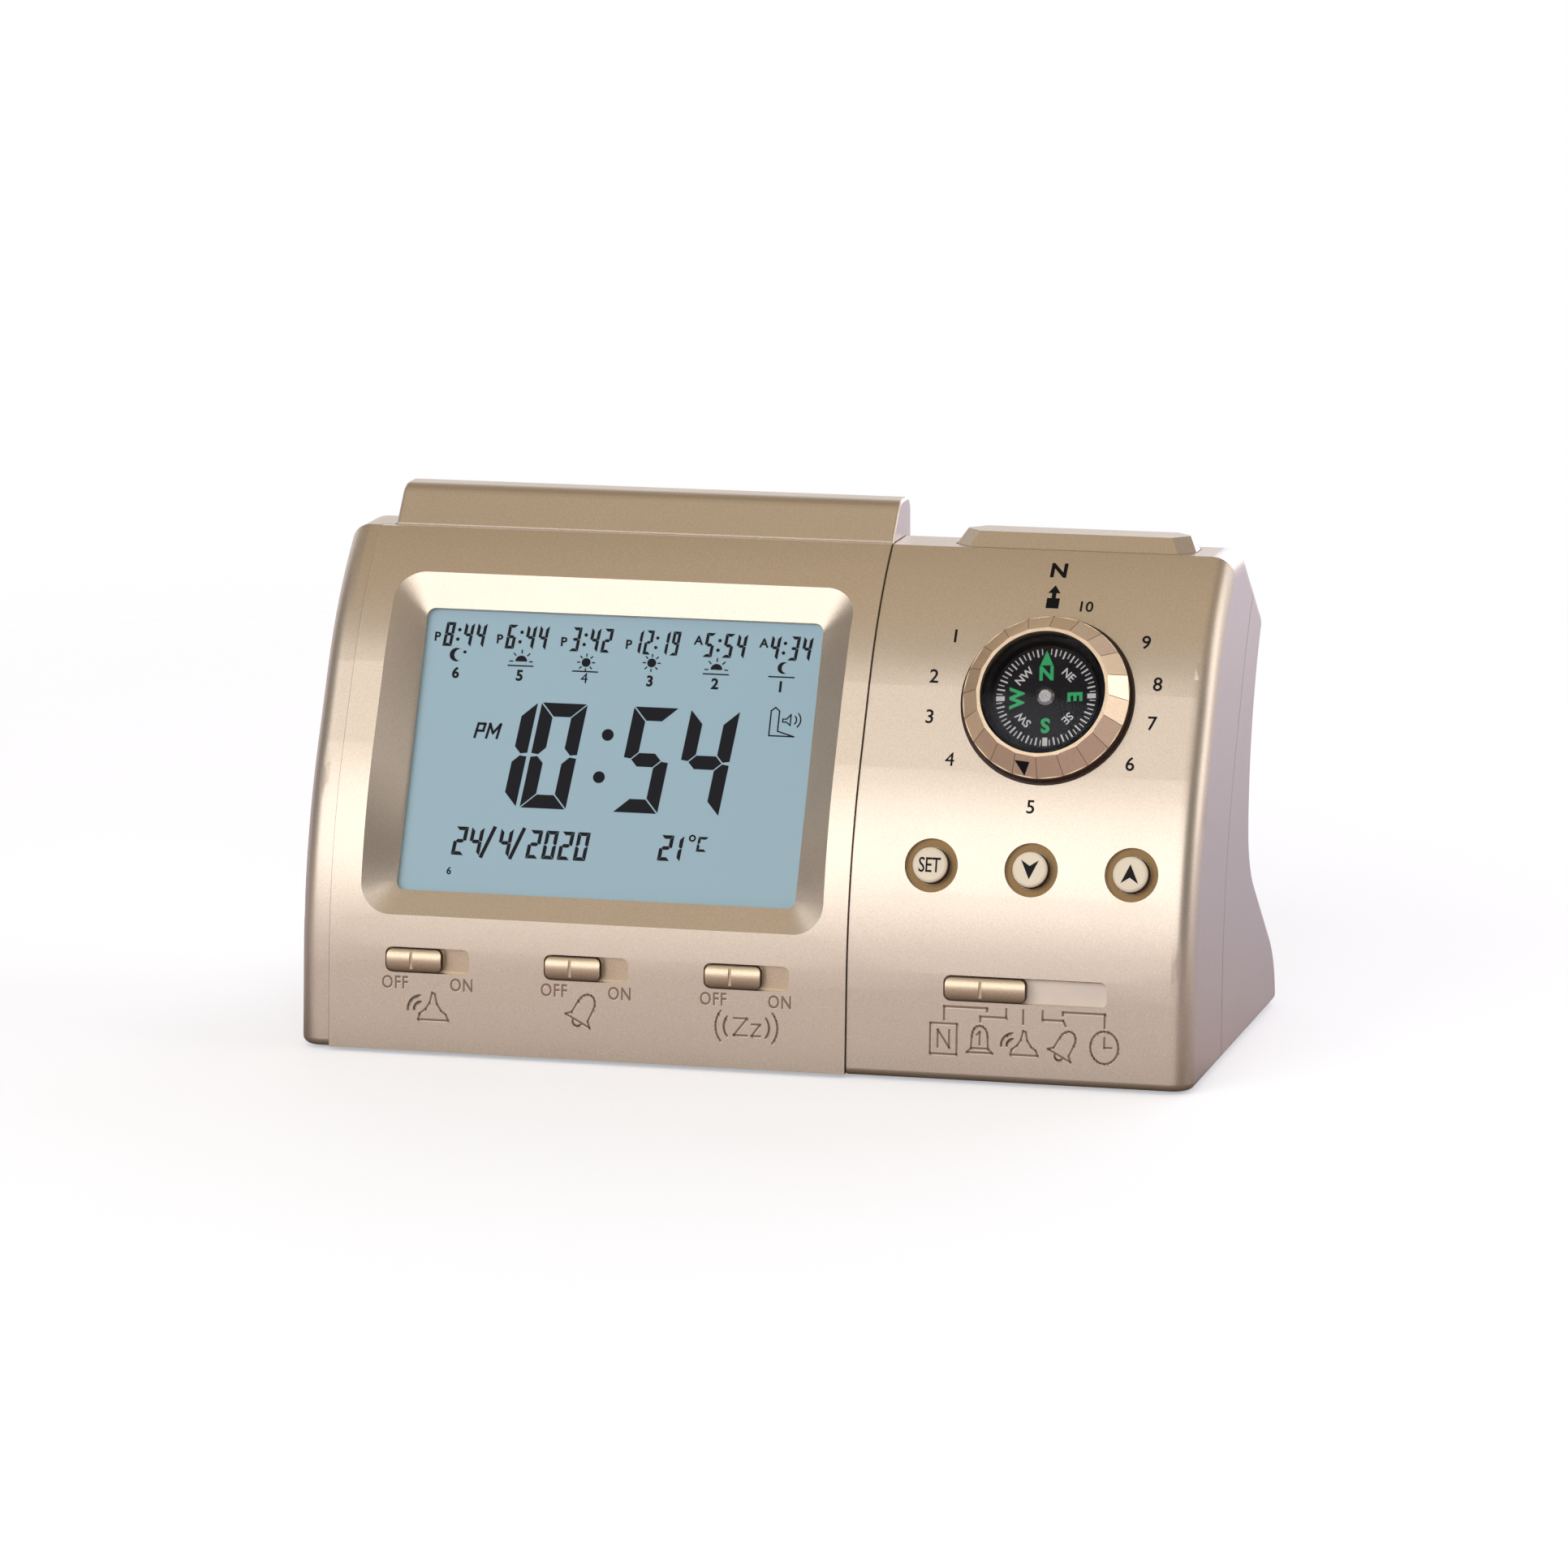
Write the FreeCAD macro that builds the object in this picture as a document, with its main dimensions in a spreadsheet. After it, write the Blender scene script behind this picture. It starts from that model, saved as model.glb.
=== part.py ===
import FreeCAD, Part
import math
import os
import re
import Sketcher

# Table-top prayer-time clock.  +X is to the right of the display, +Y to the rear, +Z up.
# The origin is under the middle of the clock, on the surface it stands on.  Millimetres and degrees.

V = FreeCAD.Vector

SIZES = {
    # casing, seen from the side: a toe, a knee, a slope and a brow make the face
    "width": 150,
    "depth": 74,
    "foot_stand": 0.5,
    "wall": 2.2,
    "toe_lean": 3.4,
    "toe_length": 14.3,
    "knee_radius": 89,
    "face_lean": 26.8,
    "slope_length": 14,
    "brow_radius": 64.6,
    "face_top": 82,
    "top_flat": 10.5,
    "top_round": 4,
    "foot_radius": 16.6,
    "foot_lean": 50,
    "flare_length": 19,
    "waist_radius": 12.6,
    "back_radius": 58,
    "back_lean": 36,
    "side_round": 3.6,
    "rear_round": 2.4,
    "base_round": 1.2,
    "seam_back": 24.8,
    "seam_gap": 0.25,
    # display fascia, let into the left of the face
    "fascia_left": -69.5,
    "fascia_right": 17.9,
    "fascia_proud": 0.5,
    "fascia_sunk": 1.7,
    "fascia_gap": 0.2,
    "fascia_ledge": 2.8,
    "ledge_thick": 1.8,
    "fascia_back": 33.4,
    "ledge_low": 8,
    "ledge_high": 78,
    "window_x": -25.3,
    "window_rise": 49.65,
    "window_lean": 24.6,
    "window_depth": 3.96,
    "window_width": 67.6,
    "window_height": 48,
    "window_round": 1.5,
    "bevel_side": 5.3,
    "bevel_top": 5.8,
    "bevel_bottom": 4.5,
    "bevel_round": 5,
    "window_lip": 1,
    "frame_margin": 6.3,
    "frame_low": 29.5,
    "frame_high": 30.5,
    # liquid crystal module behind the window
    "glass_width": 73,
    "glass_height": 54,
    "glass_thick": 2.8,
    "guide_width": 66,
    "guide_height": 46,
    "guide_thick": 2.4,
    "holder_width": 80.2,
    "holder_height": 56.4,
    "holder_back": 1.6,
    "board_thick": 1.4,
    "fit": 0.1,
    "strip_thick": 1.8,
    "strip_in": 1.4,
    "tiny_screw_radius": 0.8,
    "tiny_head_radius": 1.5,
    "tiny_head_height": 1.2,
    "tiny_screw_bite": 2.2,
    "display_screw_x": 38.4,
    "display_screw_y": 19,
    # compass and the ring around it, on the right of the face
    "ring_x": 47.8,
    "ring_rise": 60.3,
    "ring_radius": 13.7,
    "ring_gap": 0.7,
    "ring_stand": 1.6,
    "ring_cone": 3,
    "ring_lip": 10.95,
    "ring_facets": 20,
    "ring_skirt": 8.2,
    "flange_radius": 16,
    "flange_top": 4.3,
    "flange_thick": 1.1,
    "wiper_thick": 0.9,
    "compass_radius": 10,
    "compass_gap": 0.3,
    "compass_wall": 0.8,
    "compass_floor": 0.6,
    "cup_height": 2.6,
    "dome_side": 1.8,
    "dome_rise": 1.1,
    "card_radius": 8.7,
    "card_thick": 0.4,
    "card_height": 1.3,
    "cap_radius": 1.45,
    "cap_height": 0.8,
    "pin_radius": 0.45,
    "stem_radius": 3.6,
    "selector_depth": 9.5,
    "selector_width": 38.4,
    "selector_up": 17.9,
    "selector_down": 34,
    "bridge_thick": 2,
    "post_radius": 2.3,
    "post_x": 15.5,
    "post_up": 15.5,
    "post_down": 19.6,
    # three round keys under the compass
    "key_x": 47.7,
    "key_pitch": 16.5,
    "key_rise": 34.5,
    "key_radius": 2.9,
    "key_gap": 0.15,
    "key_stand": 1.3,
    "key_well_radius": 4.4,
    "key_well_depth": 0.9,
    "key_flange_radius": 3.8,
    "key_flange_gap": 0.25,
    "key_flange_thick": 1,
    "key_stem_radius": 1.3,
    "key_stem": 1.1,
    "tact_side": 5.2,
    "tact_height": 1.5,
    "tact_plunger_radius": 1.5,
    "tact_plunger": 0.8,
    # slide switches along the foot of the face
    "slide_rise": 15.2,
    "slide_x": -52.7,
    "slide_pitch": 27,
    "slot_length": 14.3,
    "slot_height": 4.2,
    "slot_round": 1.2,
    "slot_wall": 1.2,
    "knob_length": 9.2,
    "knob_height": 3.8,
    "knob_stand": 0.7,
    "slide_travel": 4.2,
    "knob_gap": 0.4,
    "plate_overlap": 1.2,
    "plate_clear": 0.3,
    "plate_thick": 0.8,
    "mode_x": 47.55,
    "mode_slot_length": 27,
    "mode_knob_length": 13.2,
    "mode_travel": 12.8,
    "roof_radius": 3.2,
    "groove_width": 0.5,
    "liner_thick": 0.7,
    "neck_width": 1,
    "neck_length": 2.4,
    "mode_neck_length": 0.6,
    "neck_depth": 5.2,
    "body_front": 3.2,
    "body_depth": 3.5,
    "body_length": 12,
    "mode_body_length": 22,
    "body_height": 5,
    "strip_board_length": 121,
    "strip_board_up": 2.4,
    "strip_board_down": 12,
    "strip_post_y": 10,
    # long bar and key on the top
    "bar_left": -67.4,
    "bar_front": 33.8,
    "bar_back": 45.9,
    "bar_skirt": 3.9,
    "bar_step": 0.3,
    "bar_lean": 40,
    "bar_face": 6,
    "bar_top": 88.2,
    "bar_rear_round": 2.4,
    "bar_end_round": 0.6,
    "key_line": 40.8,
    "stem_width": 4,
    "bar_wall": 1.6,
    "bar_travel": 1.2,
    "top_gap": 0.2,
    "tab_length": 1.3,
    "tab_thick": 1.2,
    "tab_drop": 0.15,
    "light_left": 28,
    "light_right": 68,
    "light_back": 42.3,
    "light_corner": 2.6,
    "light_height": 2.3,
    "light_front_slope": 2.2,
    "light_end_slope": 1.4,
    "light_back_slope": 0.6,
    "shelf_rise": 70,
    "shelf_thick": 1.6,
    "shelf_front": 36.5,
    "shelf_back": 44.5,
    "shelf_ledge": 3.2,
    "shelf_ledge_thick": 1.8,
    "top_tact_height": 3.5,
    "spring_radius": 2.6,
    "spring_wire": 0.5,
    "spring_pitch": 1.6,
    "spring_x": 24,
    # rear cover, battery bay and speaker
    "screw_low_x": 64,
    "screw_low_rise": 9,
    "screw_low_meet": 24,
    "screw_high_x": 69.7,
    "screw_high_rise": 63,
    "screw_high_meet": 43.5,
    "boss_radius": 2.5,
    "boss_hole": 1.35,
    "screw_radius": 1.3,
    "screw_length": 9,
    "screw_head_radius": 2.3,
    "screw_head_height": 1.7,
    "screw_well_radius": 2.6,
    "tube_radius": 3.7,
    "seat_thick": 2.4,
    "door_half": 30,
    "door_front": 28,
    "door_rise": 12.5,
    "door_gap": 0.2,
    "tongue_width": 1.8,
    "tongue_thick": 1,
    "bay_half": 28,
    "bay_front": 29,
    "bay_back": 60.2,
    "bay_wall": 1.6,
    "cell_radius": 7.15,
    "cell_length": 50,
    "cell_front": 36.9,
    "cell_pitch": 15.2,
    "cell_rise": 9.65,
    "contact_thick": 0.4,
    "coil_radius": 3,
    "coil_wire": 0.6,
    "speaker_rise": 52.5,
    "speaker_radius": 18,
    "speaker_rim": 1,
    "speaker_seat_wall": 1.8,
    "speaker_seat_depth": 3.4,
    "speaker_depth": 4,
    "magnet_radius": 8.5,
    "magnet_height": 4.5,
    "cone_radius": 15,
    "cone_thick": 0.5,
    "grille_hole": 0.9,
    "grille_pitch": 3.1,
    "grille_rings": 4,
    "foot_pad_radius": 5,
    "foot_pad_sunk": 0.6,
    "foot_pad_x": 62,
    "foot_pad_front": 12,
    "foot_pad_rear": 62,
}

doc = FreeCAD.newDocument("prayer_clock")
sheet = doc.addObject("Spreadsheet::Sheet", "Sizes")
for row, (alias, value) in enumerate(SIZES.items(), start=1):
    sheet.set(f"A{row}", alias)
    sheet.set(f"B{row}", str(value))
    sheet.setAlias(f"B{row}", alias)
doc.recompute()
s = sheet


# ---------------------------------------------------------------- helpers


def bound(text):
    """The text with every size's name turned into its cell of the sheet."""
    return re.sub(r"[a-z][a-z_]*", lambda m: f"Sizes.{m[0]}" if m[0] in SIZES else m[0], text)


def number(text):
    return float(sheet.evalExpression(bound(text)))


def bind(thing, **texts):
    """Ties properties of a document object to the sheet."""
    for name, text in texts.items():
        thing.setExpression(name.replace("__", "."), bound(text))


def box(name, across, along, up):
    """A block between (low, high) pairs of expressions."""
    block = doc.addObject("Part::Box", name)
    bind(block, Length=f"({across[1]}) - ({across[0]})", Placement__Base__x=across[0])
    bind(block, Width=f"({along[1]}) - ({along[0]})", Placement__Base__y=along[0])
    bind(block, Height=f"({up[1]}) - ({up[0]})", Placement__Base__z=up[0])
    return block


def rod(name, radius, low, high, x="0", y="0"):
    """A cylinder that stands along Z from low to high."""
    pin = doc.addObject("Part::Cylinder", name)
    bind(pin, Radius=radius, Height=f"({high}) - ({low})")
    bind(pin, Placement__Base__x=x, Placement__Base__y=y, Placement__Base__z=low)
    return pin


def cross_rod(name, radius, low, high, x, z, turn=(V(1, 0, 0), -90)):
    """A cylinder that lies along Y, or along X where it is turned about Y, from low to high."""
    pin = doc.addObject("Part::Cylinder", name)
    pin.Placement.Rotation = FreeCAD.Rotation(*turn)
    bind(pin, Radius=radius, Height=f"({high}) - ({low})", Placement__Base__z=z)
    if turn[0].x:
        bind(pin, Placement__Base__x=x, Placement__Base__y=low)
    else:
        bind(pin, Placement__Base__x=low, Placement__Base__y=x)
    return pin


def fuse(name, *parts):
    joined = doc.addObject("Part::MultiFuse", name)
    joined.Shapes = list(parts)
    joined.Refine = True
    return joined


def cut(name, base, *tools):
    less = doc.addObject("Part::Cut", name)
    less.Base = base
    less.Tool = tools[0] if len(tools) == 1 else fuse(f"{name}_tools", *tools)
    less.Refine = True
    return less


def common(name, base, tool):
    both = doc.addObject("Part::Common", name)
    both.Base = base
    both.Tool = tool
    return both


def solid(name, shape):
    made = doc.addObject("Part::Feature", name)
    made.Shape = shape
    return made


def placed(name, frame, *parts):
    """The parts together, moved from a local frame of the casing to where they belong."""
    group = doc.addObject("Part::Compound", name)
    group.Links = list(parts)
    group.Placement = frame
    return group


NODES = []


def node(name, *parts, frame=FreeCAD.Placement()):
    """One piece of the clock, or one set of like pieces, under the name of its file."""
    piece = placed(f"{name}_node", frame, *parts)
    piece.Label = name
    NODES.append(piece)
    return piece


def outline(body, role, points, lift="0"):
    """A closed sketch on an origin plane of the body, each corner's place tied to the sheet."""
    sketch = body.newObject("Sketcher::SketchObject", f"{body.Name}_outline")
    plane = next(f for f in body.Origin.OriginFeatures if f.Role == role)
    sketch.AttachmentSupport = [(plane, "")]
    sketch.MapMode = "FlatFace"
    sketch.setExpression("AttachmentOffset.Base.z", bound(lift))
    corners = [V(number(x), number(y), 0) for x, y in points]
    for i, corner in enumerate(corners):
        sketch.addGeometry(Part.LineSegment(corner, corners[(i + 1) % len(corners)]), False)
    for i, texts in enumerate(points):
        sketch.addConstraint(Sketcher.Constraint("Coincident", i, 2, (i + 1) % len(points), 1))
        for kind, text in zip(("DistanceX", "DistanceY"), texts):
            place = sketch.addConstraint(Sketcher.Constraint(kind, i, 1, number(text)))
            sketch.setExpression(f"Constraints[{place}]", bound(text))
    return sketch


def turned(name, *points):
    """A body of revolution about Z, from (radius, height) corners."""
    body = doc.addObject("PartDesign::Body", name)
    sketch = outline(body, "XZ_Plane", points)
    spin = body.newObject("PartDesign::Revolution", f"{name}_spin")
    spin.Profile = sketch
    spin.ReferenceAxis = (sketch, ["V_Axis"])
    spin.Angle = 360
    doc.recompute()
    return body


def upright(edge):
    return len(edge.Vertexes) == 2 and abs(edge.tangentAt(edge.FirstParameter).z) > 0.999


def prism(name, points, low, high, corner=None):
    """A padded outline between two heights, its upright edges rounded if a radius is named."""
    body = doc.addObject("PartDesign::Body", name)
    pad = body.newObject("PartDesign::Pad", f"{name}_pad")
    pad.Profile = outline(body, "XY_Plane", points, low)
    bind(pad, Length=f"({high}) - ({low})")
    doc.recompute()
    if corner:
        edges = [f"Edge{i}" for i, edge in enumerate(pad.Shape.Edges, start=1) if upright(edge)]
        fillet = body.newObject("PartDesign::Fillet", f"{name}_round")
        fillet.Base = (pad, edges)
        bind(fillet, Radius=corner)
        doc.recompute()
    return body


def back(text):
    """A distance behind the foot of the face, as a place along Y."""
    return f"({text}) - depth / 2"


def rise(text):
    """A height above the base, as a place along Z."""
    return f"({text}) + foot_stand"


def oblong(x, y, length, height):
    """The four corners of a rectangle about (x, y)."""
    left, right = f"{x} - ({length}) / 2", f"{x} + ({length}) / 2"
    low, high = f"{y} - ({height}) / 2", f"{y} + ({height}) / 2"
    return [(left, low), (right, low), (right, high), (left, high)]


# ---------------------------------------------------------------- side view of the casing

FRONT = -s.depth / 2
BASE = s.foot_stand
FAR = s.depth + s.width


def path(start, lean, moves):
    """Edges of a smooth path in the side view.  Lean is the angle from upright, towards the rear.

    A move is a length, or a radius and the lean at the arc's end.
    """
    y, z = start
    lean = math.radians(lean)
    edges = []
    for move in moves:
        if isinstance(move, tuple):
            radius, end = move[0], math.radians(move[1])
            side = math.copysign(radius, end - lean)
            ends = [(lean + end) / 2, end]
            stops = [(y + side * (math.cos(lean) - math.cos(a)),
                      z + side * (math.sin(a) - math.sin(lean))) for a in ends]
            edges.append(Part.Arc(V(0, y, z), V(0, *stops[0]), V(0, *stops[1])).toShape())
            (y, z), lean = stops[1], end
        else:
            stop = (y + move * math.sin(lean), z + move * math.cos(lean))
            edges.append(Part.LineSegment(V(0, y, z), V(0, *stop)).toShape())
            y, z = stop
    return edges, (y, z)


def sines(*degrees):
    return [math.sin(math.radians(a)) for a in degrees]


TOE_SINE, FACE_SINE = sines(s.toe_lean, s.face_lean)
TOE_TOP = s.toe_length * math.cos(math.radians(s.toe_lean))
KNEE_TOP = TOE_TOP + s.knee_radius * (FACE_SINE - TOE_SINE)
SLOPE_TOP = KNEE_TOP + s.slope_length * math.cos(math.radians(s.face_lean))
BROW_LEAN = math.degrees(math.asin(FACE_SINE + (s.face_top - SLOPE_TOP) / s.brow_radius))


def face_path(inward=0, over=0, past=0):
    """The face in the side view, moved inward, and run past its foot and its top."""
    lean = math.radians(s.toe_lean)
    y = FRONT + inward * math.cos(lean) - over * math.sin(lean)
    z = BASE - inward * math.sin(lean) - over * math.cos(lean)
    moves = [s.toe_length + over, (s.knee_radius - inward, s.face_lean), s.slope_length,
             (s.brow_radius - inward, BROW_LEAN + past)]
    return path((y, z), s.toe_lean, moves)


def face_at(rise):
    """How far back the face stands at a height above the base, and its lean there."""
    toe, slope = math.radians(s.toe_lean), math.radians(s.face_lean)
    if rise < TOE_TOP:
        return rise * math.tan(toe), s.toe_lean
    knee_foot = s.toe_length * TOE_SINE
    if rise < KNEE_TOP:
        lean = math.asin(TOE_SINE + (rise - TOE_TOP) / s.knee_radius)
        return knee_foot + s.knee_radius * (math.cos(toe) - math.cos(lean)), math.degrees(lean)
    slope_foot = knee_foot + s.knee_radius * (math.cos(toe) - math.cos(slope))
    if rise < SLOPE_TOP:
        return slope_foot + (rise - KNEE_TOP) * math.tan(slope), s.face_lean
    lean = math.asin(FACE_SINE + (rise - SLOPE_TOP) / s.brow_radius)
    brow_foot = slope_foot + s.slope_length * FACE_SINE
    return brow_foot + s.brow_radius * (math.cos(slope) - math.cos(lean)), math.degrees(lean)


def on_face(x, rise, lean=None, depth=0):
    """A frame on the face: X to the right, Y up the slope and Z out of the face."""
    y, own_lean = face_at(rise)
    turn = FreeCAD.Rotation(V(1, 0, 0), 90 - (own_lean if lean is None else lean))
    seat = FreeCAD.Placement(V(x, FRONT + y, BASE + rise), turn)
    return seat.multiply(FreeCAD.Placement(V(0, 0, -depth), FreeCAD.Rotation()))


def sheet_of(edges, *corners):
    """A face in the side view, closed from the edges' end through the corners to their start."""
    start, end = edges[0].Vertexes[0].Point, edges[-1].Vertexes[-1].Point
    stops = [end] + [V(0, *corner) for corner in corners] + [start]
    lines = [Part.LineSegment(a, b).toShape() for a, b in zip(stops, stops[1:])]
    return Part.Face(Part.Wire(edges + lines))


def run_across(face, left, right):
    """A face of the side view, run from left to right."""
    return face.translated(V(left, 0, 0)).extrude(V(right - left, 0, 0))


def backwards(edges):
    return [edge.reversed() for edge in reversed(edges)]


def closed(edges):
    return Part.Face(Part.Wire(Part.sortEdges(edges)[0]))


def line(a, b):
    return Part.LineSegment(V(0, *a), V(0, *b)).toShape()


# ---------------------------------------------------------------- casing, whole

face_edges, (top_y, top_z) = face_path()
FOOT_MOVES = [(s.foot_radius, -s.foot_lean), s.flare_length, (s.waist_radius, 0)]
foot_edges, (waist_y, waist_z) = path((FRONT + s.depth, BASE), 0, FOOT_MOVES)
back_edges, (kink_y, kink_z) = path((waist_y, waist_z), 0, [(s.back_radius, s.back_lean)])
fall = math.atan2(top_z - kink_z, kink_y - top_y - s.top_flat)
trim = s.top_round * math.tan(fall / 2)
round_start = (top_y + s.top_flat - trim, top_z)
round_edges, round_end = path(round_start, 90, [(s.top_round, 90 + math.degrees(fall))])
side_face = closed([*face_edges, line((top_y, top_z), round_start), *round_edges,
                    line(round_end, (kink_y, kink_z)), *back_edges, *foot_edges,
                    line((FRONT, BASE), (FRONT + s.depth, BASE))])


def on_side(edge):
    box_of = edge.BoundBox
    return box_of.XLength < 0.01 and abs(abs(box_of.Center.x) - s.width / 2) < 0.01


def at_rear(edge):
    return edge.BoundBox.YMin > waist_y - 0.01 and edge.BoundBox.ZMax < kink_z + 0.01


def at_base(edge):
    return edge.BoundBox.ZMax < BASE + 0.01


casing_block = run_across(side_face, -s.width / 2, s.width / 2)
front_rim = [e for e in casing_block.Edges if on_side(e) and not at_rear(e) and not at_base(e)]
casing_block = casing_block.makeFillet(s.side_round, front_rim)
rear_rim = [e for e in casing_block.Edges if on_side(e) and at_rear(e) and not at_base(e)]
casing_block = casing_block.makeFillet(s.rear_round, rear_rim)
casing_block = casing_block.makeFillet(s.base_round, [e for e in casing_block.Edges if at_base(e)])
casing = solid("casing_block", casing_block)

inside = s.width / 2 - s.wall
cavity = solid("casing_cavity", run_across(side_face.makeOffset2D(-s.wall), -inside, inside))
casing_shell = cut("casing_shell", casing, cavity)


# ---------------------------------------------------------------- seam between the two shells


def beside_seam(shift, side):
    """Everything ahead of the face's side view moved back by the shift, or behind it."""
    edges, (end_y, _) = face_path(over=s.wall * 4)
    edges = [edge.translated(V(0, shift, 0)) for edge in edges]
    low = edges[0].Vertexes[0].Point.z
    corners = [(end_y + shift, FAR), (side * FAR, FAR), (side * FAR, low)]
    return run_across(sheet_of(edges, *corners), -s.width, s.width)


def block(across, along, up):
    """A plain block between (low, high) pairs, Y from the face's foot and Z from the base."""
    corner = V(across[0], FRONT + along[0], BASE + up[0])
    return Part.makeBox(across[1] - across[0], along[1] - along[0], up[1] - up[0], corner)


def band(inward, outward, across, along, up):
    """The layer between two moved face paths, as far as it lies in a block."""
    inner, inner_end = face_path(inward, over=s.wall * 4, past=s.seam_back)
    outer, outer_end = face_path(-outward, over=s.wall * 4, past=s.seam_back)
    starts = [inner[0].Vertexes[0].Point, outer[0].Vertexes[0].Point]
    ends = line(inner_end, outer_end), line(*[(p.y, p.z) for p in starts])
    layer = run_across(closed([*inner, *outer, *ends]), *across)
    return layer.common(block(across, along, up))


front_part = common("front_part", casing_shell, solid("ahead_of_seam", beside_seam(s.seam_back, -1)))
behind = solid("behind_seam", beside_seam(s.seam_back + s.seam_gap, 1))
rear_part = common("rear_part", casing_shell, behind)

window_frame = on_face(s.window_x, s.window_rise, s.window_lean, s.window_depth)
ring_frame = on_face(s.ring_x, s.ring_rise)
slide_frame = on_face(0, s.slide_rise)
key_frames = [on_face(s.key_x + i * s.key_pitch, s.key_rise) for i in (-1, 0, 1)]

# ---------------------------------------------------------------- display fascia

fascia_slab = solid("fascia_slab", band(s.fascia_sunk, s.fascia_proud, (s.fascia_left, s.fascia_right),
                                        (-s.wall, s.fascia_back), (s.fascia_gap, s.face_top)))
HALF_FRAME = "window_width / 2 + frame_margin"
frame_box = box("frame_box", (f"0 - ({HALF_FRAME})", HALF_FRAME), ("0 - frame_low", "frame_high"),
                ("0 - window_lip", "window_depth * 2"))
inner_band = solid("inner_band", band(s.window_depth * 2, s.fascia_proud, (-s.width, s.width),
                                      (-s.wall, s.depth), (0, s.face_top)))
fascia_frame = common("fascia_frame", placed("frame_place", window_frame, frame_box), inner_band)


def rounded(half, low, high, radius, steps):
    """Points of a rounded rectangle as eight runs: side, corner, side, corner..."""
    middles = [(half - radius, low + radius, -90), (half - radius, high - radius, 0),
               (radius - half, high - radius, 90), (radius - half, low + radius, 180)]
    corners = []
    for x, y, start in middles:
        angles = [math.radians(start + 90 * i / 4) for i in range(5)]
        corners.append([(x + radius * math.cos(a), y + radius * math.sin(a)) for a in angles])
    runs = []
    for i, corner in enumerate(corners):
        (ax, ay), (bx, by) = corners[i - 1][-1], corner[0]
        runs.append([(ax + (bx - ax) * k / steps, ay + (by - ay) * k / steps) for k in range(steps + 1)])
        runs.append(corner)
    return runs


proud_points = [window_frame.inverse().multVec(point)
                for edge in face_path(-s.fascia_proud)[0] for point in edge.discretize(40)]


def proud_height(y):
    """How far the fascia's face stands out of the window's plane."""
    for a, b in zip(proud_points, proud_points[1:]):
        if a.y <= y < b.y:
            return a.z + (b.z - a.z) * (y - a.y) / (b.y - a.y)


def smooth(points):
    curve = Part.BSplineCurve()
    curve.interpolate([V(*point) for point in points])
    return curve.toShape()


def bevel_cutter():
    """The funnel from the window's edge out to the curved face, and the space above it."""
    reach, top = 1.1, s.window_depth * 3
    half, tall = s.window_width / 2, s.window_height / 2
    inner = rounded(half, -tall, tall, s.window_round, 8)
    outer = rounded(half + s.bevel_side, -tall - s.bevel_bottom, tall + s.bevel_top, s.bevel_round, 8)
    faces = []
    rims = [[], []]
    for near, far in zip(inner, outer):
        ends = [(x + reach * (u - x), y + reach * (w - y), reach * proud_height(w))
                for (x, y), (u, w) in zip(near, far)]
        low = smooth([(x, y, 0) for x, y in near])
        slope = smooth(ends)
        high = smooth([(x, y, top) for x, y, _ in ends])
        faces += [Part.makeRuledSurface(low, slope), Part.makeRuledSurface(slope, high)]
        rims[0].append(low)
        rims[1].append(high)
    faces += [Part.Face(Part.Wire(rim)) for rim in rims]
    hull = Part.Shell(faces)
    hull.sewShape()
    funnel = Part.Solid(hull)
    return funnel if funnel.Volume > 0 else Part.Solid(hull.reversed())


funnel = solid("bevel_funnel", bevel_cutter())
WINDOW = oblong("0", "0", "window_width", "window_height")
window_hole = prism("window_hole", WINDOW, "0 - window_lip * 2", "window_lip", "window_round")
POCKET = oblong("0", "0", "glass_width + fit * 4", "glass_height + fit * 4")
glass_pocket = prism("glass_pocket", POCKET, "0 - window_depth * 3", "0 - window_lip")
SCREW_SPOTS = [(x, y) for x in (-1, 1) for y in (-1, 1)]
pilots = [rod(f"display_pilot_{i}", "tiny_screw_radius + fit / 2", "0 - window_depth", "1.2",
              f"{x} * display_screw_x", f"{y} * display_screw_y") for i, (x, y) in enumerate(SCREW_SPOTS)]
window_void = fuse("window_void", funnel, window_hole, glass_pocket, *pilots)
window_cut = placed("window_cut", window_frame, window_void)

SLIDES = {"azan": 0, "alarm": 1, "snooze": 2}
KNOB_REACH = "slide_travel + knob_gap + plate_overlap"


def slot_middle(index):
    return f"slide_x + {index} * slide_pitch"


def knob_left(index):
    return f"{slot_middle(index)} - slot_length / 2 + knob_gap"


slots = []
for name, index in SLIDES.items():
    hole = oblong(slot_middle(index), "0", "slot_length", "slot_height")
    slots.append(prism(f"{name}_slot", hole, "0 - wall * 2", "wall", "slot_round"))
    slots.append(box(f"{name}_pocket", (f"{knob_left(index)} - ({KNOB_REACH}) - plate_clear",
                                        f"{knob_left(index)} + knob_length + slide_travel + ({KNOB_REACH})"
                                        " + plate_clear"),
                     ("0 - slot_height / 2 - plate_overlap - plate_clear",
                      "slot_height / 2 + plate_overlap + plate_clear"),
                     ("0 - wall * 2", "fascia_proud - slot_wall")))
slot_cut = placed("slot_cut", slide_frame, fuse("slot_voids", *slots))
display_fascia = node("display_fascia", cut("fascia", fuse("fascia_body", fascia_slab, fascia_frame),
                                            window_cut, slot_cut))

# ---------------------------------------------------------------- front shell

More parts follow.
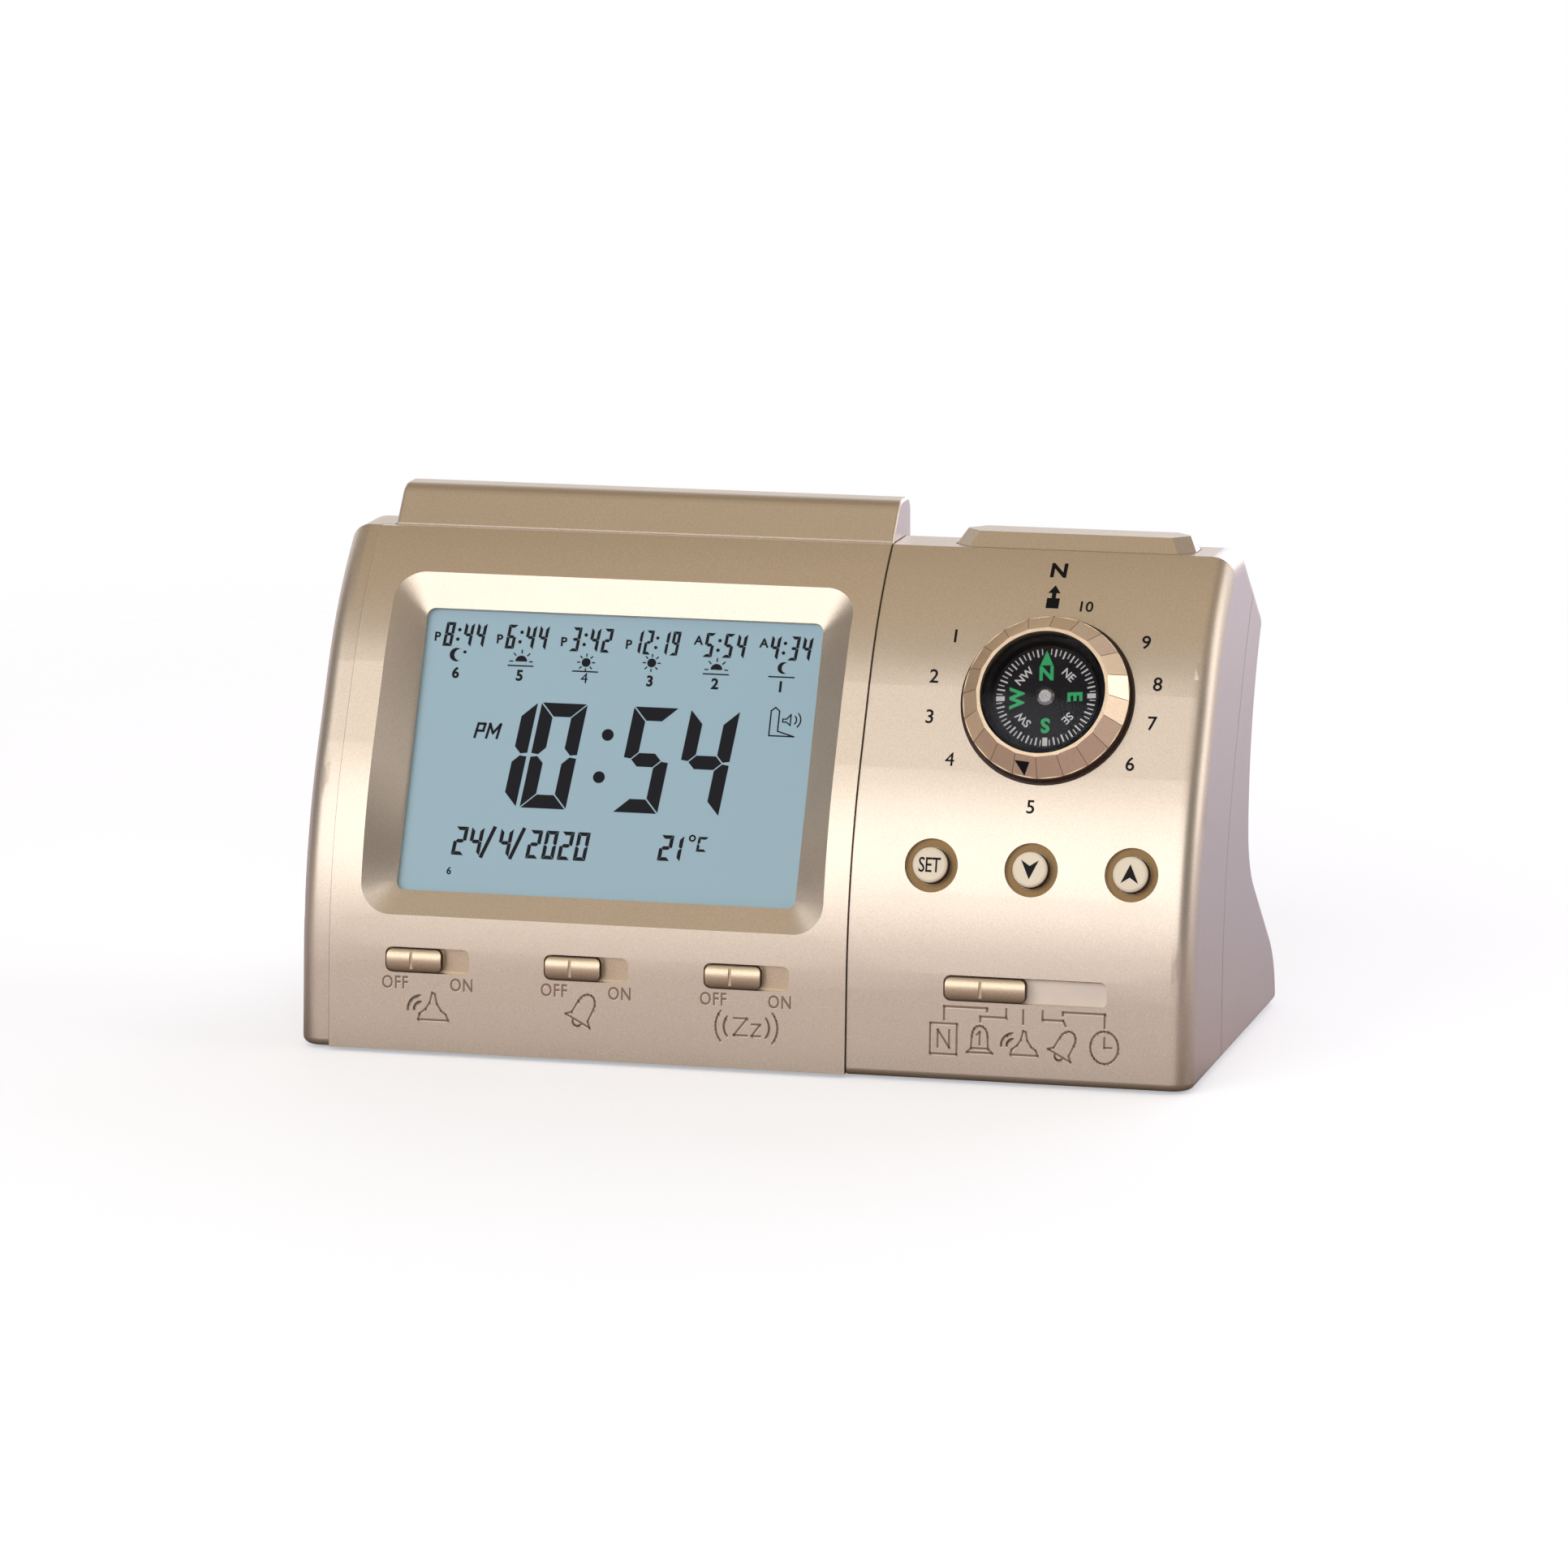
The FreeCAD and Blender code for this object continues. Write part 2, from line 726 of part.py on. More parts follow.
recess = solid("fascia_recess", band(s.fascia_sunk + s.fit, s.wall,
                                     (s.fascia_left - s.fascia_gap, s.fascia_right + s.fascia_gap),
                                     (-s.wall, s.fascia_back + s.fascia_gap), (-1, s.face_top + 1)))
ledge_top = s.fascia_sunk + s.fit
ledge = solid("fascia_seat", band(ledge_top + s.ledge_thick, -ledge_top,
                                  (s.fascia_left - s.wall, s.fascia_right + s.wall),
                                  (-s.wall, s.fascia_back), (s.base_round, s.face_top - s.wall / 2)))
ledge_opening = box("ledge_opening", ("fascia_left + fascia_ledge", "fascia_right - fascia_ledge"),
                    (back("0 - wall"), back("bar_back")), (rise("ledge_low"), rise("ledge_high")))
bar_opening = box("bar_opening", ("bar_left - top_gap", "fascia_right + top_gap"),
                  (back("bar_front - top_gap"), back("bar_back + top_gap")),
                  (rise("shelf_rise + shelf_thick * 3"), rise("bar_top")))


def octagon(gap):
    """The light key's outline seen from above, grown by a gap."""
    left, right = f"light_left - {gap}", f"light_right + {gap}"
    front, rear = back(f"bar_front - {gap}"), back(f"light_back + {gap}")
    inset = "light_corner"
    return [(f"{left} + {inset}", front), (f"{right} - {inset}", front), (right, f"{front} + {inset}"),
            (right, f"{rear} - {inset}"), (f"{right} - {inset}", rear), (f"{left} + {inset}", rear),
            (left, f"{rear} - {inset}"), (left, f"{front} + {inset}")]


light_opening = prism("light_opening", octagon("top_gap"), rise("face_top - wall * 2"),
                      rise("face_top + wall"))
ring_hole = placed("ring_hole_place", ring_frame,
                   rod("ring_hole", "ring_radius + ring_gap", "0 - wall * 3", "wall * 2"))
key_bore = rod("key_bore", "key_radius + key_gap", "0 - wall * 3", "wall")
key_well = rod("key_well", "key_well_radius", "0 - key_well_depth", "wall")
key_void = fuse("key_void", key_bore, key_well)
key_holes = [placed(f"key_hole_{i}", frame, key_void) for i, frame in enumerate(key_frames)]
MODE_SLOT = oblong("mode_x", "0", "mode_slot_length", "slot_height")
MODE_BACK = oblong("mode_x", "0", "mode_slot_length + plate_overlap * 4",
                   "slot_height + (plate_overlap + plate_clear) * 2")
mode_void = fuse("mode_void", prism("mode_slot", MODE_SLOT, "0 - wall * 2", "wall", "slot_round"),
                 prism("mode_pocket", MODE_BACK, "0 - wall * 2", "0 - slot_wall"))
mode_cut = placed("mode_cut", slide_frame, mode_void)
SIDES = (-1, 1)
bosses, boss_holes = [], []
for place, start in {"low": "wall + fit * 3", "high": "screw_low_meet - wall"}.items():
    for side in SIDES:
        where = {"x": f"{side} * screw_{place}_x", "z": rise(f"screw_{place}_rise")}
        end = back(f"screw_{place}_meet")
        tag = f"{place}_{'left' if side < 0 else 'right'}"
        bosses.append(cross_rod(f"boss_{tag}", "boss_radius", back(start), end, **where))
        boss_holes.append(cross_rod(f"boss_hole_{tag}", "boss_hole", f"{end} - screw_length", end, **where))
shelf_ledges = [box(f"shelf_ledge_{i}",
                    (f"{side} * (width / 2 - wall / 2 - shelf_ledge / 2) - (shelf_ledge + wall) / 2",
                     f"{side} * (width / 2 - wall / 2 - shelf_ledge / 2) + (shelf_ledge + wall) / 2"),
                    (back("shelf_front"), back("shelf_back")),
                    (rise("shelf_rise - shelf_ledge_thick"), rise("shelf_rise")))
                for i, side in enumerate(SIDES)]
POST_SPOTS = [(f"{side} * post_x", y) for side in SIDES for y in ("post_up", "0 - post_down")]
posts = [rod(f"selector_post_{i}", "post_radius", "0 - selector_depth", "0 - wall - fit", x, y)
         for i, (x, y) in enumerate(POST_SPOTS)]
post_holes = [rod(f"selector_pilot_{i}", "tiny_screw_radius + fit / 2", "0 - selector_depth",
                  "tiny_screw_bite - selector_depth + fit", x, y) for i, (x, y) in enumerate(POST_SPOTS)]
STRIP_SPOTS = [-40, -12, 24, 56]
strip_posts = [rod(f"strip_post_{i}", "post_radius", "0 - body_front - body_depth", "0 - wall + fit * 2",
                   str(x), "0 - strip_post_y") for i, x in enumerate(STRIP_SPOTS)]
strip_holes = [rod(f"strip_pilot_{i}", "tiny_screw_radius + fit / 2", "0 - body_front - body_depth",
                   "tiny_screw_bite + fit - body_front - body_depth", str(x), "0 - strip_post_y")
               for i, x in enumerate(STRIP_SPOTS)]
pad_hole = rod("pad_hole", "foot_pad_radius + fit", "0", "foot_stand + foot_pad_sunk")
pad_places = {name: [FreeCAD.Placement(V(side * s.foot_pad_x, FRONT + y, 0), FreeCAD.Rotation())
                     for side in SIDES]
              for name, y in {"front": s.foot_pad_front, "rear": s.foot_pad_rear}.items()}
front_pads = [placed(f"front_pad_hole_{i}", place, pad_hole) for i, place in enumerate(pad_places["front"])]
seat_frame = cut("fascia_seat_frame", ledge, ledge_opening)
front_wall = cut("front_wall", front_part, recess, ledge_opening)
front_body = fuse("front_body", front_wall, seat_frame, *bosses, *shelf_ledges,
                  placed("selector_posts", ring_frame, *posts),
                  placed("strip_posts", slide_frame, *strip_posts))
front_inside = common("front_inside", front_body, casing)
node("front_shell", cut("front_shell_cut", front_inside, bar_opening, light_opening, ring_hole, mode_cut,
                        *key_holes, *boss_holes, *front_pads,
                        placed("selector_pilots", ring_frame, *post_holes),
                        placed("strip_pilots", slide_frame, *strip_holes)))

# ---------------------------------------------------------------- rear cover and battery door

back_lean_there = math.degrees(math.asin((s.speaker_rise + BASE - waist_z) / s.back_radius))
speaker_y = waist_y + s.back_radius * (1 - math.cos(math.radians(back_lean_there)))
speaker_frame = FreeCAD.Placement(V(0, speaker_y, BASE + s.speaker_rise),
                                  FreeCAD.Rotation(V(1, 0, 0), -90 - back_lean_there))
tubes, wells, shanks = [], [], []
for place in ("low", "high"):
    for side in SIDES:
        where = {"x": f"{side} * screw_{place}_x", "z": rise(f"screw_{place}_rise")}
        meet = back(f"screw_{place}_meet + fit")
        tag = f"{place}_{'left' if side < 0 else 'right'}"
        tubes.append(cross_rod(f"tube_{tag}", "tube_radius", meet, back("depth"), **where))
        wells.append(cross_rod(f"well_{tag}", "screw_well_radius", f"{meet} + seat_thick", "depth", **where))
        shanks.append(cross_rod(f"shank_hole_{tag}", "boss_hole", f"{meet} - wall", "depth", **where))
SEAT = "wall + fit * 3 + speaker_seat_depth"
seat_ring = placed("seat_ring_place", speaker_frame,
                   rod("seat_ring", "speaker_radius + fit * 2 + speaker_seat_wall", f"0 - ({SEAT})", "wall"))
seat_bore = placed("seat_bore_place", speaker_frame,
                   rod("seat_bore", "speaker_radius + fit * 2", "0 - magnet_radius * 2",
                       "0 - wall - fit * 2"))
grille_spots = [(0, 0)]
for ring in range(1, int(s.grille_rings) + 1):
    for k in range(6 * ring):
        angle = math.tau * k / (6 * ring)
        out = ring * s.grille_pitch
        grille_spots.append((out * math.cos(angle), out * math.sin(angle)))
grille_pins = [Part.makeCylinder(s.grille_hole, s.wall * 5, V(x, y, -s.wall * 2.5)) for x, y in grille_spots]
grille = solid("grille_holes", Part.Compound(grille_pins))
grille.Placement = speaker_frame
BAY_TOP = "cell_rise + cell_radius + fit * 4"
bay = box("bay", ("0 - bay_half - bay_wall * 3", "bay_half + bay_wall * 3"),
          (back("bay_front - bay_wall"), back("bay_back + bay_wall")),
          (rise("wall / 2"), rise(f"{BAY_TOP} + bay_wall")))
bay_room = box("bay_room", ("0 - bay_half", "bay_half"), (back("bay_front"), back("bay_back")),
               (rise("0"), rise(BAY_TOP)))
door_room = box("door_room", ("0 - door_half", "door_half"), (back("door_front"), back("depth + wall")),
                (rise("0 - wall"), rise("wall + fit")))
foot_room = box("foot_room", ("0 - door_half", "door_half"),
                (back("bay_back + bay_wall"), back("depth + wall")), (rise("0"), rise("door_rise")))
TONGUE_OUT = "door_half + tongue_width"
tongue_room = box("tongue_room", (f"0 - ({TONGUE_OUT}) - door_gap", f"{TONGUE_OUT} + door_gap"),
                  (back("door_front"), back("bay_back + bay_wall * 2")),
                  (rise("wall"), rise("wall + fit + tongue_thick + door_gap")))
rear_pads = [placed(f"rear_pad_hole_{i}", place, pad_hole) for i, place in enumerate(pad_places["rear"])]
rear_body = common("rear_inside", fuse("rear_body", rear_part, *tubes, seat_ring, bay), casing)
node("rear_cover", cut("rear_cover_cut", rear_body, *wells, *shanks, seat_bore, grille, bay_room, door_room,
                       foot_room, tongue_room, *rear_pads))

door_block = box("door_block", ("door_gap - door_half", "door_half - door_gap"),
                 (back("door_front + door_gap"), back("depth + wall")),
                 (rise("0 - wall"), rise("door_rise - door_gap")))
TONGUE_STOP = "bay_back - door_gap * 10"
tongues = [box(f"tongue_{i}", (min(a, b, key=number), max(a, b, key=number)),
               (back("bay_front + door_gap"), back(TONGUE_STOP)),
               (rise("wall - fit"), rise("wall + fit + tongue_thick")))
           for i, side in enumerate(SIDES)
           for a, b in [(f"{side} * (bay_half + fit * 3)", f"{side} * (door_half - door_gap)")]]
lips = [box(f"tongue_lip_{i}", (min(a, b, key=number), max(a, b, key=number)),
            (back("bay_front + door_gap"), back(TONGUE_STOP)),
            (rise("wall + fit"), rise("wall + fit + tongue_thick")))
        for i, side in enumerate(SIDES)
        for a, b in [(f"{side} * (bay_half + fit * 3)", f"{side} * ({TONGUE_OUT})")]]
grips = [box(f"door_grip_{i}", ("0 - bay_half / 3", "bay_half / 3"),
             (back(f"bay_back + tongue_width * 1.5 * {i}"),
              back(f"bay_back + tongue_width * (1.5 * {i} + 0.5)")),
             (rise("0"), rise("tongue_width / 3"))) for i in range(4)]
door_shell = cut("door_shell", common("door_part", casing_shell, door_block), *grips)
node("battery_door", fuse("door_body", door_shell, *tongues, *lips))


def screw(name, head_radius, head_height, radius, length):
    """A pan-head screw along Z: the head's seat at 0, the shank below, a cross in the head."""
    half = f"{radius} * 0.25"
    arm = f"({head_radius}) * 0.62"
    blank = turned(f"{name}_blank", ("0", f"0 - ({length})"), (f"{radius} * 0.6", f"0 - ({length})"),
                   (radius, f"{radius} - ({length})"), (radius, "0"), (head_radius, "0"),
                   (head_radius, f"{head_height} * 0.55"), (f"{head_radius} * 0.7", head_height),
                   ("0", head_height))
    slot = [box(f"{name}_cross_{i}", (f"0 - {a}", a), (f"0 - {b}", b),
                (f"{head_height} * 0.45", f"{head_height} * 1.2"))
            for i, (a, b) in enumerate([(arm, half), (half, arm)])]
    return cut(name, blank, *slot)


big_screw = screw("big_screw", "screw_head_radius", "screw_head_height", "screw_radius", "screw_length")
rearward = FreeCAD.Rotation(V(1, 0, 0), -90)
casing_spots = [V(side * x, FRONT + meet + s.fit + s.seat_thick, BASE + z) for side in SIDES
                for x, meet, z in [(s.screw_low_x, s.screw_low_meet, s.screw_low_rise),
                                   (s.screw_high_x, s.screw_high_meet, s.screw_high_rise)]]
node("casing_screws", *[placed(f"casing_screw_{i}", FreeCAD.Placement(spot, rearward), big_screw)
                        for i, spot in enumerate(casing_spots)])
pad = turned("foot_pad", ("0", "0"), ("foot_pad_radius - fit * 4", "0"), ("foot_pad_radius", "fit * 4"),
             ("foot_pad_radius", "foot_stand + foot_pad_sunk"), ("0", "foot_stand + foot_pad_sunk"))
node("rubber_feet", *[placed(f"foot_pad_{i}", place, pad)
                      for i, place in enumerate(pad_places["front"] + pad_places["rear"])])

# ---------------------------------------------------------------- display module, from the window inward

GLASS_FRONT = "0 - window_lip"
GLASS_BACK = f"{GLASS_FRONT} - glass_thick"
GUIDE_BACK = f"{GLASS_BACK} - fit - guide_thick"
TRAY_FLOOR = f"{GUIDE_BACK} - fit"
BOARD_FRONT = f"{TRAY_FLOOR} - holder_back"
BOARD_BACK = f"{BOARD_FRONT} - board_thick"
node("lcd_glass", prism("glass", oblong("0", "0", "glass_width", "glass_height"), GLASS_BACK, GLASS_FRONT),
     frame=window_frame)
node("lcd_light_guide", prism("guide", oblong("0", "0", "guide_width", "guide_height"), GUIDE_BACK,
                              f"{GLASS_BACK} - fit"), frame=window_frame)
LED_IN = "guide_width / 2 + fit"
led = box("led", (LED_IN, f"{LED_IN} + strip_in"), ("0 - guide_thick", "guide_thick"),
          (f"{GUIDE_BACK} + fit * 3", f"{GLASS_BACK} - fit * 4"))
flip = FreeCAD.Placement(V(0, 0, 0), FreeCAD.Rotation(V(0, 0, 1), 180))
node("backlight_leds", placed("led_right", FreeCAD.Placement(), led), placed("led_left", flip, led),
     frame=window_frame)
tray = prism("tray", oblong("0", "0", "holder_width", "holder_height"), BOARD_FRONT, f"{GLASS_FRONT} - fit",
             "window_round")
tray_room = prism("tray_room", POCKET, TRAY_FLOOR, "window_lip")
STRIP_Y = "strip_in - glass_height / 2"
strip_slot = prism("strip_slot", oblong("0", STRIP_Y, "guide_width + fit * 2", "strip_thick + fit * 2"),
                   "0 - window_depth * 3", "0")
screw_holes = [rod(f"holder_hole_{i}", "tiny_screw_radius + fit / 2", "0 - window_depth * 3", "0",
                   f"{x} * display_screw_x", f"{y} * display_screw_y")
               for i, (x, y) in enumerate(SCREW_SPOTS)]
node("lcd_holder", cut("holder", tray, tray_room, strip_slot, *screw_holes), frame=window_frame)
node("contact_strip", prism("strip", oblong("0", STRIP_Y, "guide_width", "strip_thick"), BOARD_FRONT,
                            GLASS_BACK), frame=window_frame)
board = prism("main_board_blank", oblong("0", "0", "holder_width", "holder_height"), BOARD_BACK, BOARD_FRONT,
              "window_round")
node("main_board", cut("main_board_cut", board, *screw_holes), frame=window_frame)
blob = turned("blob", ("0", "0"), ("6", "0"), ("5.4", "0 - 0.7"), ("4", "0 - 1.3"), ("2", "0 - 1.6"),
              ("0", "0 - 1.7"))
blob_place = FreeCAD.Placement(V(0, 0, number(BOARD_BACK)), FreeCAD.Rotation())
node("chip_blob", placed("blob_place", blob_place, blob), frame=window_frame)
node("clock_crystal", cross_rod("crystal", "1", "15", "21", "8", f"{BOARD_BACK} - 1", (V(0, 1, 0), 90)),
     frame=window_frame)
display_screw = screw("display_screw", "tiny_head_radius", "tiny_head_height", "tiny_screw_radius",
                      f"1 - ({BOARD_BACK})")
upside_down = FreeCAD.Rotation(V(1, 0, 0), 180)


def screws(name, blank, spots, depth, frame):
    """Small screws driven forward into the face, heads at a depth below it."""
    seats = [FreeCAD.Placement(V(number(x), number(y), number(depth)), upside_down) for x, y in spots]
    node(name, *[placed(f"{name}_{i}", seat, blank) for i, seat in enumerate(seats)], frame=frame)


DISPLAY_SCREWS = [(f"{x} * display_screw_x", f"{y} * display_screw_y") for x, y in SCREW_SPOTS]
screws("display_screws", display_screw, DISPLAY_SCREWS, BOARD_BACK, window_frame)

# ---------------------------------------------------------------- compass and city ring

FACETS_TOP = "ring_stand + ring_cone"


def facets(name, radius, height):
    ring = doc.addObject("Part::RegularPolygon", name)
    bind(ring, Circumradius=radius, Polygon="ring_facets", Placement__Base__z=height)
    return ring


cone = doc.addObject("Part::Loft", "ring_facets")
cone.Sections = [facets("ring_facets_low", "ring_radius", "ring_stand"),
                 facets("ring_facets_high", "ring_lip", FACETS_TOP)]
cone.Solid = True
cone.Ruled = True
FLANGE_LOW = "0 - flange_top - flange_thick"
ring_wall = turned("ring_wall", ("0", "0 - ring_skirt"), ("ring_radius - ring_stand", "0 - ring_skirt"),
                   ("ring_radius - ring_stand", FLANGE_LOW), ("flange_radius", FLANGE_LOW),
                   ("flange_radius", "0 - flange_top"), ("ring_radius", "0 - flange_top"),
                   ("ring_radius", "ring_stand"), ("0", "ring_stand"))
ring_bore = rod("ring_bore", "compass_radius + compass_gap", "0 - ring_skirt * 2", "ring_skirt")
node("city_ring", cut("city_ring_cut", fuse("city_ring_body", ring_wall, cone), ring_bore), frame=ring_frame)
node("ring_wiper", turned("wiper", ("compass_radius + compass_gap", "0 - ring_skirt - wiper_thick"),
                          ("ring_radius - ring_stand", "0 - ring_skirt - wiper_thick"),
                          ("ring_radius - ring_stand", "0 - ring_skirt"),
                          ("compass_radius + compass_gap", "0 - ring_skirt")), frame=ring_frame)
INSIDE = "compass_radius - compass_wall"
SELECTOR_BACK = "0 - selector_depth - board_thick"
SCREW_HOLE = "tiny_screw_radius + fit / 2"
SCREW_ROOM = f"{SELECTOR_BACK} + tiny_screw_bite * 2"
CUP_FLOOR = "0 - compass_floor"
node("compass_base", turned("cup", (SCREW_HOLE, SELECTOR_BACK), ("stem_radius", SELECTOR_BACK),
                            ("stem_radius", "0 - flange_top - compass_floor"),
                            ("compass_radius", "0 - flange_top - compass_floor"),
                            ("compass_radius", "cup_height"), (INSIDE, "cup_height"),
                            (INSIDE, CUP_FLOOR), ("0", CUP_FLOOR), ("0", SCREW_ROOM),
                            (SCREW_HOLE, SCREW_ROOM)), frame=ring_frame)


def cap(name, radius, low, shoulder, peak):
    """A disc with a shallow round top."""
    side, sphere = rod(f"{name}_side", radius, low, peak), doc.addObject("Part::Sphere", f"{name}_ball")
    rise_of = f"(({peak}) - ({shoulder}))"
    curve = f"({radius} * ({radius}) + {rise_of} * {rise_of}) / (2 * {rise_of})"
    bind(sphere, Radius=curve, Placement__Base__z=f"{peak} - {curve}")
    return common(name, side, sphere)


DOME_EDGE = "cup_height + dome_side"
dome = cap("dome_outside", "compass_radius", "cup_height", DOME_EDGE, f"{DOME_EDGE} + dome_rise")
hollow = cap("dome_inside", f"({INSIDE})", "cup_height - 1", f"{DOME_EDGE} - compass_wall",
             f"{DOME_EDGE} + dome_rise - compass_wall")
node("compass_dome", cut("dome", dome, hollow), frame=ring_frame)
CARD_BACK = "card_height - card_thick / 2"
node("compass_card", rod("card", "card_radius", CARD_BACK, f"{CARD_BACK} + card_thick"), frame=ring_frame)
CARD_FRONT = f"{CARD_BACK} + card_thick"
node("compass_cap", turned("card_cap", ("0", CARD_FRONT), ("cap_radius", CARD_FRONT),
                           ("cap_radius", f"{CARD_FRONT} + cap_height * 0.6"),
                           ("cap_radius * 0.7", f"{CARD_FRONT} + cap_height"),
                           ("0", f"{CARD_FRONT} + cap_height")), frame=ring_frame)
node("compass_pivot", rod("pivot", "pin_radius", CUP_FLOOR, f"{CARD_BACK} - fit / 2"), frame=ring_frame)
selector_holes = [rod(f"selector_hole_{i}", SCREW_HOLE, "0 - selector_depth * 2", "0", x, y)
                  for i, (x, y) in enumerate([*POST_SPOTS, ("0", "0")])]
stem_hole = rod("stem_hole", "stem_radius + compass_gap", "0 - selector_depth * 2", "0")
ACROSS = ("0 - selector_width / 2", "selector_width / 2")
selector_blank = box("selector_blank", ACROSS, ("0 - selector_down", "selector_up"),
                     (SELECTOR_BACK, "0 - selector_depth"))
BRIDGE_BACK = f"{SELECTOR_BACK} - bridge_thick"
bridge_blank = box("bridge_blank", ACROSS, ("0 - post_down - post_radius", "selector_up"),
                   (BRIDGE_BACK, SELECTOR_BACK))
node("selector_board", cut("selector_board_cut", selector_blank, stem_hole, *selector_holes[:4]),
     frame=ring_frame)
node("selector_bridge", cut("selector_bridge_cut", bridge_blank, *selector_holes), frame=ring_frame)
selector_screw = screw("selector_screw", "tiny_head_radius", "tiny_head_height", "tiny_screw_radius",
                       "bridge_thick + board_thick + tiny_screw_bite")
screws("selector_screws", selector_screw, [*POST_SPOTS, ("0", "0")], BRIDGE_BACK, ring_frame)

# ---------------------------------------------------------------- three keys and their switches

FLANGE = "0 - wall - key_flange_gap"
KEY_END = f"{FLANGE} - key_flange_thick - key_stem"
key = turned("key", ("0", KEY_END), ("key_stem_radius", KEY_END),
             ("key_stem_radius", f"{FLANGE} - key_flange_thick"),
             ("key_flange_radius", f"{FLANGE} - key_flange_thick"), ("key_flange_radius", FLANGE),
             ("key_radius", FLANGE), ("key_radius", "key_stand - 0.4"),
             ("key_radius - 0.12", "key_stand - 0.14"), ("key_radius - 0.4", "key_stand"),
             ("0", "key_stand"))
for name, frame in zip(("set_button", "down_button", "up_button"), key_frames):
    node(name, key, frame=frame)


def tact(name, height):
    """A small square switch standing on its board, with its round plunger."""
    half = "tact_side / 2"
    body = box(f"{name}_body", (f"0 - {half}", half), (f"0 - {half}", half), ("0", height))
    return fuse(name, body, rod(f"{name}_plunger", "tact_plunger_radius", height, f"{height} + tact_plunger"))


low_tact = tact("low_tact", "tact_height")


def board_spot(frame):
    """Where a key's axis meets the selector board."""
    inward = ring_frame.inverse().multiply(frame)
    near, far = inward.multVec(V(0, 0, 0)), inward.multVec(V(0, 0, -1))
    return near + (far - near) * ((near.z + s.selector_depth) / (near.z - far.z))


node("button_switches", *[placed(f"low_tact_{i}", FreeCAD.Placement(board_spot(frame), FreeCAD.Rotation()),
                                 low_tact) for i, frame in enumerate(key_frames)], frame=ring_frame)

# ---------------------------------------------------------------- slides

ALONG = (V(0, 1, 0), 90)


def slide_knob(name, left, length, stand, foot, plate, reach, neck_length="neck_length"):
    """A pillow-topped knob with a groove across it, its neck, and the plate behind the slot."""
    right, middle = f"{left} + {length}", f"{left} + {length} / 2"
    pill = prism(f"{name}_pill", oblong(middle, "0", length, "knob_height"), foot, stand, "slot_round - fit")
    roof = cross_rod(f"{name}_roof", "roof_radius", left, right, "0", f"{stand} - roof_radius", ALONG)
    groove = box(f"{name}_groove", (f"{left} + {length} * 0.42", f"{left} + {length} * 0.42 + groove_width"),
                 ("0 - knob_height", "knob_height"), (f"{stand} - groove_width * 0.7", f"{stand} + 1"))
    neck = box(f"{name}_neck", (f"{middle} - neck_width / 2", f"{middle} + neck_width / 2"),
               (f"0 - {neck_length} / 2", f"{neck_length} / 2"), ("0 - neck_depth", foot))
    back_plate = box(f"{name}_plate", (f"{left} - ({reach})", f"{right} + {reach}"),
                     ("0 - slot_height / 2 - plate_overlap", "slot_height / 2 + plate_overlap"),
                     (f"{plate} - plate_thick", plate))
    grip = cut(f"{name}_grip", common(f"{name}_pillow", pill, roof), groove)
    node(name, fuse(f"{name}_knob", grip, neck, back_plate), frame=slide_frame)


def switch_body(name, middle, length, travel):
    """The switch behind a slot, with the pocket its neck runs in."""
    centre = f"{middle} + {travel} / 2"
    block_of = box(f"{name}_switch", (f"{centre} - {length} / 2", f"{centre} + {length} / 2"),
                   ("0 - body_height / 2", "body_height / 2"),
                   ("0 - body_front - body_depth", "0 - body_front"))
    reach = f"(neck_width / 2 + fit * 2 + {travel} / 2)"
    room = box(f"{name}_room", (f"{centre} - {reach}", f"{centre} + {reach}"),
               ("0 - neck_length / 2 - fit * 2", "neck_length / 2 + fit * 2"),
               ("0 - neck_depth - fit * 2", "0 - body_front + 1"))
    return cut(f"{name}_switch_cut", block_of, room)


PLATE = "fascia_proud - slot_wall - fit"
bodies = []
for name, index in SLIDES.items():
    slide_knob(f"{name}_knob", knob_left(index), "knob_length", "fascia_proud + knob_stand", PLATE, PLATE,
               KNOB_REACH)
    bodies.append(switch_body(name, f"{knob_left(index)} + knob_length / 2", "body_length", "slide_travel"))
MODE_LEFT = "mode_x - mode_slot_length / 2 + knob_gap"
MODE_MIDDLE = f"{MODE_LEFT} + mode_knob_length / 2"
slide_knob("mode_knob", MODE_LEFT, "mode_knob_length", "knob_stand", "fit - slot_wall",
           "0 - slot_wall - liner_thick - fit", "0", "mode_neck_length")
bodies.append(switch_body("mode", MODE_MIDDLE, "mode_body_length", "mode_travel"))
liner = prism("liner", oblong("mode_x", "0", "mode_slot_length + plate_overlap * 4 - fit * 2",
                              "slot_height + (plate_overlap + plate_clear - fit) * 2"),
              "0 - slot_wall - liner_thick", "0 - slot_wall")
slit = box("liner_slit", (f"{MODE_MIDDLE} - neck_width / 2 - fit * 2",
                          f"{MODE_MIDDLE} + neck_width / 2 + mode_travel + fit * 2"),
           ("0 - mode_neck_length / 2 - fit", "mode_neck_length / 2 + fit"), ("0 - slot_wall * 3", "0"))
node("mode_liner", cut("liner_cut", liner, slit), frame=slide_frame)
node("slide_switches", *bodies, frame=slide_frame)
STRIP_FRONT = "0 - body_front - body_depth"
STRIP_BACK = f"{STRIP_FRONT} - board_thick"
strip_blank = box("switch_board_blank", ("0 - strip_board_length / 2 - 0.5", "strip_board_length / 2 - 0.5"),
                  ("0 - strip_board_down", "strip_board_up"), (STRIP_BACK, STRIP_FRONT))
board_holes = [rod(f"strip_hole_{i}", SCREW_HOLE, f"{STRIP_BACK} - 1", "0", str(x), "0 - strip_post_y")
               for i, x in enumerate(STRIP_SPOTS)]
